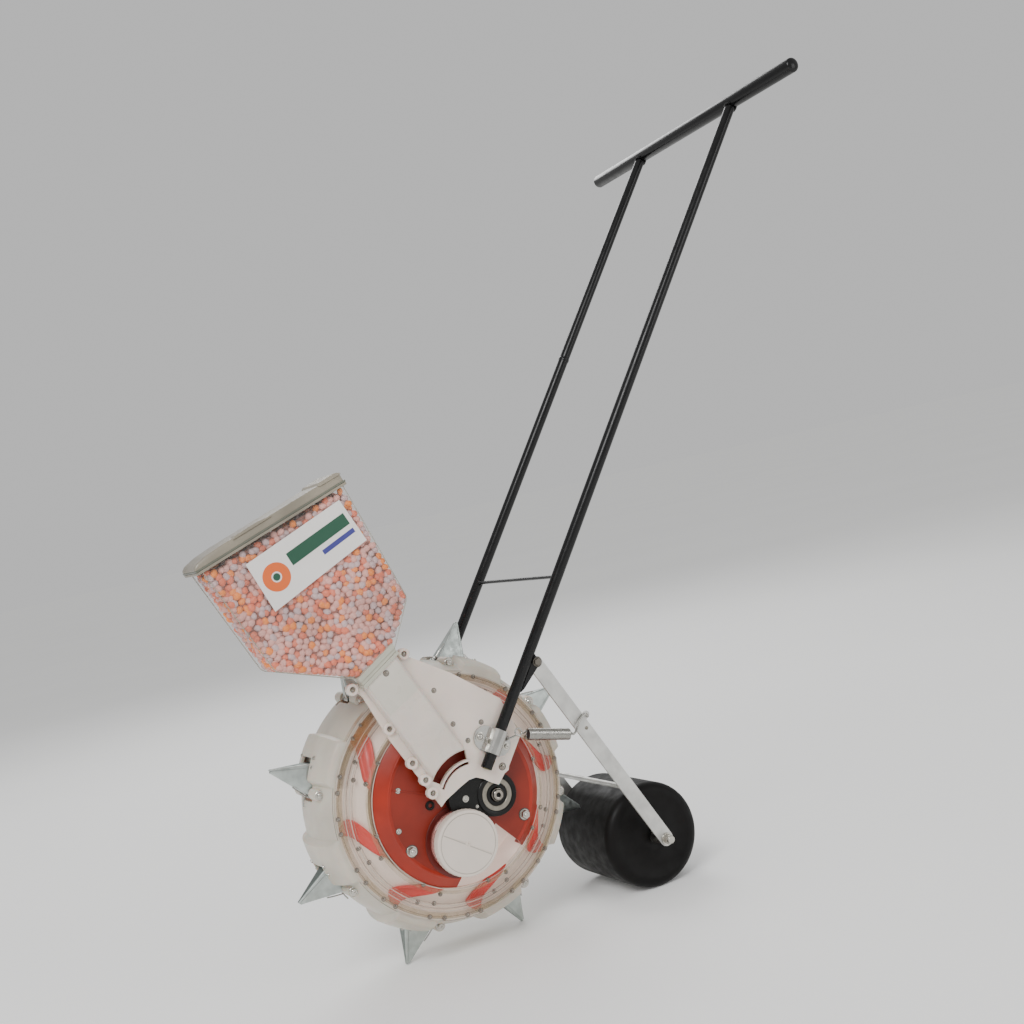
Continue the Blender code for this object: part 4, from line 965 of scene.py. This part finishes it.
def chute_shell():
    """A rounded trough, its front face flat between a soft left edge and a softer right one."""
    section = [(-30.0, -129.4), (-30.0, -142.0)]
    section += [(-24.5 - 5.5 * cos(pi / 2 * k / 6), -142.5 - 5.5 * sin(pi / 2 * k / 6)) for k in range(7)]
    section += [(-16 + 6 * k, -148.0) for k in range(6)]
    section += [(21.0 + 9.0 * sin(t), -139.0 - 9.0 * cos(t)) for t in [pi / 2 * k / 8 for k in range(9)]]
    section += [(30.0, -129.4)]
    rows = []
    for fraction, drop in ((0.0, 0.0), (0.5, 0.0), (0.985, 0.0), (0.993, 0.5), (1.0, 1.8)):
        row = []
        for n, y in section:
            x, z = chute_point(chute_end(n) * fraction, n)
            row.append((x, min(y + drop, -129.4), z))
        rows.append(row)
    rows.append([(x, -129.4, z) for x, _, z in rows[-1]])
    m = len(section)
    verts = [v for row in rows for v in row]
    faces = []
    for i in range(len(rows) - 1):
        faces += [(i * m + j, i * m + j + 1, (i + 1) * m + j + 1, (i + 1) * m + j) for j in range(m - 1)]
    return verts, faces


def slab(corners, y0, y1, soft=1.0):
    return prism(softened([chute_point(s, n) for s, n in corners], soft), y0, y1)


def make_plates():
    """The side plates, the feed chute and the collar under the hopper."""
    restyle("left_side_plate", WHITE, 0.7)
    restyle("right_side_plate", WHITE, 0.8)
    piece("chute_shell", CHUTE, "frame", chute_shell(), instead=["feed_chute"], sharp=50)
    panel = [(13.0, -27.5), (13.0, 24.0), (62.0, 24.0), (64.0, -27.5)]
    piece("chute_panel", CHUTE_UPPER, "frame", slab(panel, -148.15, -147.9, 2.0))
    front = PLATE_FACE
    rib = arc(52.6, 84, 149, 28, (10, 0)) + arc(49.4, 149, 84, 28, (10, 0))
    edge = arc(68.4, 92, 141, 20, (10, 0)) + arc(66.6, 141, 92, 20, (10, 0))
    ribs = prism(rib, front - 2.6, front + 2), prism(edge, front - 1.0, front + 1)
    piece("plate_ribs", WHITE, "frame", *ribs, bevel=0.5)
    cup = [(8.2, front + 1), (8.2, front - 3.6), (7.2, front - 4.6), (4.6, front - 4.6), (4.0, front - 3.8),
           (4.0, front + 1)]
    piece("plate_cups", WHITE, "frame", *[ring(cup, 40, spot, 0.5) for spot in BOSSES])
    small = [(x, z, front, 2.2, -1) for x, z in ((-13.3, 155.9), (3.3, 104.5), (44.4, 95.9), (19.3, 76.9))]
    small += [(60.9, 28.1, front, 3.2, -1), (-81.5, 198.2, -148.1, 2.6, -1)]
    cup_screws = [(x, z, front - 0.9, 2.8, -1) for x, z in BOSSES]
    far = [(x, z, -front, 2.6, 1) for x, z in ((58, 18), (84, 62), (40, 128), (-20, 30))]
    piece("plate_screws", SCREW, "frame",
          *[screw_head(x, z, y, r, r * 0.8, out) for x, z, y, r, out in small + cup_screws + far])
    # The dark rings round the small plate screws are painted shadow.
    piece("plate_screw_shadows", PAINTED_SCREW_SHADOW, "frame", *screw_shadow_rings(small))
    bands = []
    lean = 3.4
    for s0, s1, y, wide in ((-6.5, 0.5, -150.2, 33.0), (0.5, 5.5, -149.0, 32.0), (5.5, 10.5, -150.2, 33.0)):
        corners = [(s0 + lean, -wide), (s0 - lean, wide), (s1 - lean, wide), (s1 + lean, -wide)]
        bands.append(slab(corners, y, -128.8, 1.2))
    piece("neck_collar", COLLAR, "frame", *bands, bevel=0.7)


# The hopper

RIM_LEFT = Vector((-288.5, 0, 382.0))
RIM_RIGHT = Vector((-82.5, 0, 452.6))
ALONG = (RIM_RIGHT - RIM_LEFT).normalized()
ABOVE = Vector((-ALONG.z, 0, ALONG.x))
BIN_Y = (-148.0, -80.0)


def bin_outline(inset):
    neck = CHUTE_TOP - CHUTE_RUN * (1.0 + inset)
    left, right = RIM_LEFT + ALONG * inset, RIM_RIGHT - ALONG * inset
    foot = Vector((-226 + inset, 0, 237.5 + inset * 0.7))
    bulge = arc(13.0, 22, -18, 6, (-43.0 - inset * 0.6, 290.0))
    a, b = neck - CHUTE_ACROSS * (31.0 - inset), neck + CHUTE_ACROSS * (31.0 - inset)
    corner = softened([left.xz, foot.xz, a.xz], 6.0, 5, False)
    return list(corner) + [b.xz] + bulge[::-1] + [right.xz]


def inside(point, outline):
    """Whether an (x, z) point is inside the outline."""
    x, z = point
    odd = False
    for (x0, z0), (x1, z1) in zip(outline, outline[1:] + outline[:1]):
        if (z0 > z) != (z1 > z) and x < x0 + (z - z0) / (z1 - z0) * (x1 - x0):
            odd = not odd
    return odd


def make_bin():
    """The clear bin, its edges and the flange round its mouth."""
    y0, y1 = BIN_Y
    outer, inner = bin_outline(0), bin_outline(2.5)
    n = len(outer)
    verts = [(x, y0, z) for x, z in outer] + [(x, y1, z) for x, z in outer]
    verts += [(x, y0 + 2.5, z) for x, z in inner] + [(x, y1 - 2.5, z) for x, z in inner]
    faces = [tuple(range(n)), tuple(range(n, 2 * n)), tuple(range(2 * n, 3 * n)), tuple(range(3 * n, 4 * n))]
    for i in range(n - 1):
        faces.append((i, i + 1, n + i + 1, n + i))
        faces.append((2 * n + i, 2 * n + i + 1, 3 * n + i + 1, 3 * n + i))
    last = n - 1
    faces += [(0, last, 2 * n + last, 2 * n), (n, n + last, 3 * n + last, 3 * n), (0, n, 3 * n, 2 * n),
              (last, n + last, 3 * n + last, 2 * n + last)]
    piece("bin_walls", BIN, "frame", (verts, faces), instead=["hopper_bin"])
    edge = []
    for y in (y0 - 0.2, y1 + 0.2):
        edge.append(wire([(x, y + (0.7 if y < -100 else -0.7), z) for x, z in outer], 0.8, 8))
    piece("bin_edges", BIN_EDGE, "frame", *edge)
    piece("bin_flange", LID, "frame", rim_frame(-8.0, 223.0, y0 - 3.0, y1 + 3.0, 5.5, 0.0, 3.6), bevel=0.6)


def rim_frame(s0, s1, y0, y1, width, h0, h1):
    """A rectangular band round the hopper's mouth."""
    verts = []
    for h in (h0, h1):
        for inset in (0.0, width):
            for s, y in ((s0 + inset, y0 + inset), (s1 - inset, y0 + inset), (s1 - inset, y1 - inset),
                         (s0 + inset, y1 - inset)):
                spot = RIM_LEFT + ALONG * s + ABOVE * h
                verts.append((spot.x, y, spot.z))
    faces = []
    for i in range(4):
        k = (i + 1) % 4
        faces += [(i, k, 4 + k, 4 + i), (8 + i, 8 + k, 12 + k, 12 + i), (i, k, 8 + k, 8 + i),
                  (4 + i, 4 + k, 12 + k, 12 + i)]
    return verts, faces


def make_lid():
    """The lid: a shallow hood with a turned-down front end, a lip round its foot and two raised parts."""
    def hood(profile, y0, y1):
        return prism([(RIM_LEFT + ALONG * a + ABOVE * b).xz for a, b in softened(profile, 3.0, 4)], y0, y1)

    body = [(-7.0, 4.4), (-8.5, 8.5), (-3.0, 13.2), (14.0, 16.6), (40.0, 17.8), (221.5, 17.8), (221.5, 4.4)]
    back = [(186.0, 17.0), (190.0, 20.4), (216.0, 21.0), (222.6, 17.0), (222.6, 15.4), (190.0, 15.4)]
    hollow = [(-3.0, 2.0), (-3.0, 10.0), (14.0, 13.8), (40.0, 15.0), (212.0, 15.0), (212.0, 2.0)]
    shell = piece("lid_hood", LID, "lid", hood(body, -150.0, -78.0), instead=["hopper_lid"], bevel=1.6)
    carve(shell, [hood(hollow, -147.6, -80.4)])
    piece("lid_back", LID, "lid", hood(back, -151.0, -77.0), bevel=1.0)
    grip = [(52.0, 15.4), (58.0, 19.0), (92.0, 19.4), (112.0, 17.2), (112.0, 15.4)]
    piece("lid_grip", LID, "lid", hood(grip, -151.2, -132.0), bevel=1.4)
    # The lip's dark colour is painted shade of the gap under the lid.
    piece("lid_lip", LID_GAP_SHADE, "lid", rim_frame(-8.5, 223.6, -151.2, -76.8, 3.0, 3.8, 6.4), bevel=0.7)


def make_label():
    """A plain label with coloured bars."""
    corners = [(-233.5, 379.7), (-92.2, 435.6), (-67.0, 376.0), (-209.1, 312.4)]

    def patch(fractions, y0, y1):
        a, b, c, d = (Vector(p) for p in corners)
        points = []
        for s, t in fractions:
            top, low = a.lerp(b, s), d.lerp(c, s)
            points.append(tuple(top.lerp(low, t)))
        return prism(points, y0, y1)

    piece("label", LABEL, "frame", patch([(0, 0), (1, 0), (1, 1), (0, 1)], -148.35, -148.1), bevel=0.1)
    piece("label_band_green", STRIPE_GREEN, "frame",
          patch([(0.34, 0.26), (0.96, 0.26), (0.96, 0.52), (0.34, 0.52)], -148.45, -148.3))
    piece("label_band_blue", STRIPE_BLUE, "frame",
          patch([(0.62, 0.62), (0.96, 0.62), (0.96, 0.72), (0.62, 0.72)], -148.45, -148.3))
    a, b, _, d = (Vector(c) for c in corners)
    middle = a.lerp(b, 0.17) + (d - a) * 0.5
    band = [(7, -148.3), (19, -148.3), (19, -148.45), (7, -148.45)]
    piece("label_dot", STRIPE_ORANGE, "frame", ring(band, 48, middle))
    piece("label_dot_middle", STRIPE_GREEN, "frame", disc(5.0, -148.45, -148.3, middle, 32))


def seed_shape():
    """One kernel: a rounded wedge, broad at one end."""
    builder = bmesh.new()
    bmesh.ops.create_icosphere(builder, subdivisions=2, radius=1.0)
    verts = []
    for v in builder.verts:
        x, y, z = v.co
        taper = 0.90 + 0.14 * z
        verts.append(Vector((x * 5.4 * taper, y * 4.6 * taper, z * 5.9)))
    faces = [tuple(v.index for v in f.verts) for f in builder.faces]
    builder.free()
    return verts, faces


def make_seeds():
    """Seed packed behind the walls: layers at each side, one lining the other walls, and inside a dark mass
    that stands for the seed further in, its darkness painted shade.
    """
    rng = random.Random(11)
    verts, faces = seed_shape()
    groups = [[] for _ in SEEDS]
    room = bin_outline(8.5)
    core = bin_outline(22.0)
    top = RIM_LEFT - ABOVE * 3.5
    pitch = 8.6
    spots = []
    for y in (-141.2, -135.0, -127.0, -119.0, -111.0, -103.0, -95.0, -87.0):
        filled = y < -130 or y > -100
        for i in range(36):
            for j in range(36):
                x = -304 + i * pitch + (pitch / 2 if j % 2 else 0) + rng.uniform(-1.9, 1.9)
                z = 192 + j * pitch * 0.87 + rng.uniform(-1.9, 1.9)
                heaped = (Vector((x, 0, z)) - top).dot(ABOVE) > -13
                if inside((x, z), room) and (filled or heaped or not inside((x, z), core)):
                    spots.append((x, y, z, filled))
        wall = [Vector(p) for p in bin_outline(5.2)]
        for a, b in zip(wall, wall[1:]):
            for k in range(int((b - a).length / 8.2) + 1):
                x, z = a.lerp(b, min(1.0, (k + rng.uniform(0.1, 0.6)) * 8.2 / (b - a).length))
                spots.append((x, max(-142.0, min(-86.0, y + rng.uniform(-3.5, 3.5))), z, False))
    for x, y, z, flat in spots:
        if (Vector((x, 0, z)) - top).dot(ABOVE) > rng.uniform(-4, 0):
            continue
        lean = 0.5 if flat else pi
        turn = Euler((rng.uniform(-lean, lean), rng.uniform(0, 2 * pi), rng.uniform(-lean, lean))).to_matrix()
        size = rng.uniform(0.86, 1.08)
        here = Vector((x, y + rng.uniform(-1.4, 1.4), z))
        pick = rng.random()
        which = 0 if pick < 0.42 else 1 if pick < 0.60 else 2 if pick < 0.84 else 3
        groups[which].append(([tuple(here + turn @ (v * size)) for v in verts], faces))
    heap = []
    for x, z in bin_outline(6.5):
        spot = Vector((x, 0, z))
        over = max(0.0, (spot - RIM_LEFT).dot(ABOVE) + 6.0)
        heap.append((spot - ABOVE * over).xz)
    # The dark mass behind the kernels is painted shade.
    piece("seed_shade_mass", SEED_GAP_SHADE, "frame", prism(heap, -139.5, -88.5))
    for mat, shapes, name in zip(SEEDS, groups, ("pale", "grey", "salmon", "orange")):
        piece(f"seed_{name}", mat, "frame", *shapes, sharp=180)


# The press roller

ARM_PIVOT = Vector((142.0, 0.0, 156.0))
ROLLER_R = 78.0
ROLLER_HALF = 85.0
ROLLER_AXIS = Vector((294.7, 0.0, GROUND + ROLLER_R))
ARM_RUN = (ROLLER_AXIS - ARM_PIVOT).normalized()
ARM_SIDE = Vector((-ARM_RUN.z, 0, ARM_RUN.x))
ARM_LENGTH = (ROLLER_AXIS - ARM_PIVOT).length


def on_arm(s, n, y):
    point = ARM_PIVOT + ARM_RUN * s + ARM_SIDE * n
    return (point.x, y, point.z)


def arm_y(s):
    return -(131.0 - 12.0 * s / ARM_LENGTH)


def make_arms():
    """The roller's arms with their pivots, the rod between them and the roller's pin."""
    for side, name in SIDES:
        restyle(f"{name}_roller_arm", ZINC, 0.5)
        restyle(f"{name}_arm_lug", ENAMEL, 0.8)
        pivot = ARM_PIVOT.xz
        parts = list(hex_head(*pivot, -140.3, 9.5, 3.9, washer=6.6))
        parts.append(knob([(3.0, -141), (3.0, -130)], 24, pivot))
        inner = -128.55
        parts.append(knob([(5.4, inner), (5.4, inner + 4.0), (4.8, inner + 4.2)], 6, pivot))
        parts.append(knob([(4.6, -134.2), (4.6, -133.0)], 24, pivot))
        piece(f"{name}_arm_pin", PIN, "frame", *sided(side, *parts), instead=[f"{name}_arm_bolt"])
        mark = screw_head(*Vector(on_arm(127, 3.0, 0)).xz, arm_y(127) - 1.8, 2.0, 1.0)
        piece(f"{name}_arm_rivet", DULL, "press_arm", *sided(side, mark))
    reach = -arm_y(240.0) - 2.0
    a, b = on_arm(240.0, 0, -reach), on_arm(240.0, 0, reach)
    end = [(0, 5.2), (1.6, 5.2), (2.4, 4.2), (3.5, 4.0)]
    rod = end + [(2 * reach - s, r) for s, r in reversed(end)]
    piece("arm_rod", ZINC, "press_arm", tube(a, b, rod), instead=["roller_arm_cross_rod"])
    centre = ROLLER_AXIS.xz
    shapes = [knob([(5.0, -134), (5.5, -133.4), (5.5, 133.4), (5.0, 134)], 32, centre)]
    for s in (-1, 1):
        shapes += hex_head(*centre, s * 121.7, 13.0, 6.2, s, 9.0)
        shapes.append(knob([(9.0, s * (ROLLER_HALF + 0.6)), (9.0, s * 116.3)], 32, centre))
    piece("roller_pin", STEEL, "press_arm", *shapes, instead=["roller_axle"])


def make_roller():
    """The hollow press roller."""
    r, h = ROLLER_R, ROLLER_HALF
    turns = (0.0, 0.2, 0.4, 0.6, 0.8, 1.0, 1.2, 1.4, pi / 2)
    edge = [(r - 14 + 14 * sin(t), h - 14 + 14 * cos(t)) for t in turns]
    end = [(6.3, h - 1.0), (14, h - 1.0), (15, h - 0.2), (24, h - 0.2), (25, h - 1.2), (58, h - 1.2), (60, h)]
    half = end + edge
    profile = half + [(a, -b) for a, b in reversed(half)]
    shell = ring(profile, 144, ROLLER_AXIS.xz)
    piece("roller_shell", ROLLER, "roller", shell, instead=["press_roller"], sharp=50)


def make_springs():
    """Each return spring: close coils, an eye and a hook to the clamp, and a hook over the arm's tab."""
    y = -140.5
    front, rear = Vector((104, y, 62.7)), Vector((166.2, y, 45.6))
    run = (rear - front).normalized()
    side = run.orthogonal().normalized()
    other = run.cross(side)
    length = (rear - front).length
    turns, r, w = 40, 7.5, 0.86
    coil = []
    for i in range(turns * 16 + 1):
        t = i / (turns * 16)
        a = 2 * pi * turns * t
        coil.append(front + run * (length * t) + side * (r * cos(a)) + other * (r * sin(a)))
    hole = along_pole(47.9, 15.5)
    tab = Vector(on_arm(112.0, 15.0, 0))
    hook_y = arm_y(112.0) - 3.9
    eye = [Vector((91, -140, 69.5)) + Vector((5.0 * cos(a), 0.6 * sin(a), 5.0 * sin(a))) for a in
           [2 * pi * i / 20 for i in range(21)]]
    start = [coil[0], front - run * 3 + side * 4, front - run * 7 + side * 1.5]
    hook = [(89, -138.5, 66), (82, -138.2, 65), (hole.x + 3, -137.4, hole.z + 1), (hole.x, -134.0, hole.z),
            (hole.x, -129.8, hole.z)]
    rear_hook = [coil[-1], rear + run * 3 + side * 3, rear + run * 7, (180, -137.5, 46.5), (188, -134, 54.5),
                 (tab.x - 9, hook_y - 0.8, tab.z - 0.5), (tab.x - 3, hook_y, tab.z + 0.6),
                 (tab.x + 1, hook_y + 0.3, tab.z - 2.5), (tab.x + 1.5, hook_y + 3.0, tab.z - 3.5)]
    parts = [wire(coil, w, 8), wire(smooth_path(start), 1.1, 8), wire(eye, 1.2, 8),
             wire(smooth_path(hook), 1.3, 8), wire(smooth_path(rear_hook), 1.7, 10)]
    stations = [((length - 3) * k / 30, 6.5) for k in range(31)]
    bore = tube(front + run * 1.5, rear - run * 1.5, stations, 20)
    for s, name in SIDES:
        obj = piece(f"{name}_spring", SPRING, None, *sided(s, *parts), instead=[f"{name}_return_spring"],
                    sharp=60)
        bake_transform(obj)
        # A dark core inside the coils: painted shade.
        core = piece(f"{name}_spring_bore", HOLE_SHADE, None, *sided(s, bore))
        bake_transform(core)


def make_stage():
    """Floor, soft light and the photograph's camera."""
    floor = bpy.data.meshes.new("floor")
    floor.from_pydata([(-90, -90, 0), (90, -90, 0), (90, 90, 0), (-90, 90, 0)], [], [(0, 1, 2, 3)])
    floor.materials.append(FLOOR)
    placed("floor", floor)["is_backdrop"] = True
    world = bpy.data.worlds.new("studio")
    world.use_nodes = True
    sky = world.node_tree.nodes["Background"].inputs
    sky["Color"].default_value = (1, 1, 1, 1)
    sky["Strength"].default_value = 0.62
    bpy.context.scene.world = world
    lights = (("key", (-2.4, -2.6, 3.2), 125, 1.8), ("fill", (2.2, -3.4, 1.2), 26, 1.6),
              ("back", (0.8, 2.8, 3.0), 60, 2.0))
    for name, spot, power, size in lights:
        light = bpy.data.lights.new(name, "AREA")
        light.energy = power
        light.size = size
        lamp = placed(name, light)
        lamp.location = spot
        aim = Vector((0, 0, 0.45)) - Vector(spot)
        lamp.rotation_euler = aim.to_track_quat("-Z", "Y").to_euler()
    camera = bpy.data.cameras.new("camera")
    camera.lens = 48.8
    camera.sensor_width = 36.0
    obj = placed("camera", camera)
    heading, pitch, roll = radians(25.93), radians(-0.957), radians(12.6)
    turn = Matrix.Rotation(-heading, 4, "Z") @ Matrix.Rotation(pi / 2 + pitch, 4, "X")
    turn = turn @ Matrix.Rotation(-roll, 4, "Z")
    obj.matrix_world = Matrix.Translation(at(-695.6, -1889.8, 400.9)) @ turn
    bpy.context.scene.camera = obj


for make in (make_stage, make_handle, make_clamps, make_tread, make_covers, make_vanes, make_spikes,
             make_housing, make_clean_out, make_drive, make_axle, make_plates, make_bin, make_lid,
             make_label, make_seeds, make_arms, make_roller, make_springs):
    make()

boxes = {"cad": cad_box, "visual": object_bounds()}
{key: [list(corner) for corner in value] for key, value in boxes.items()}
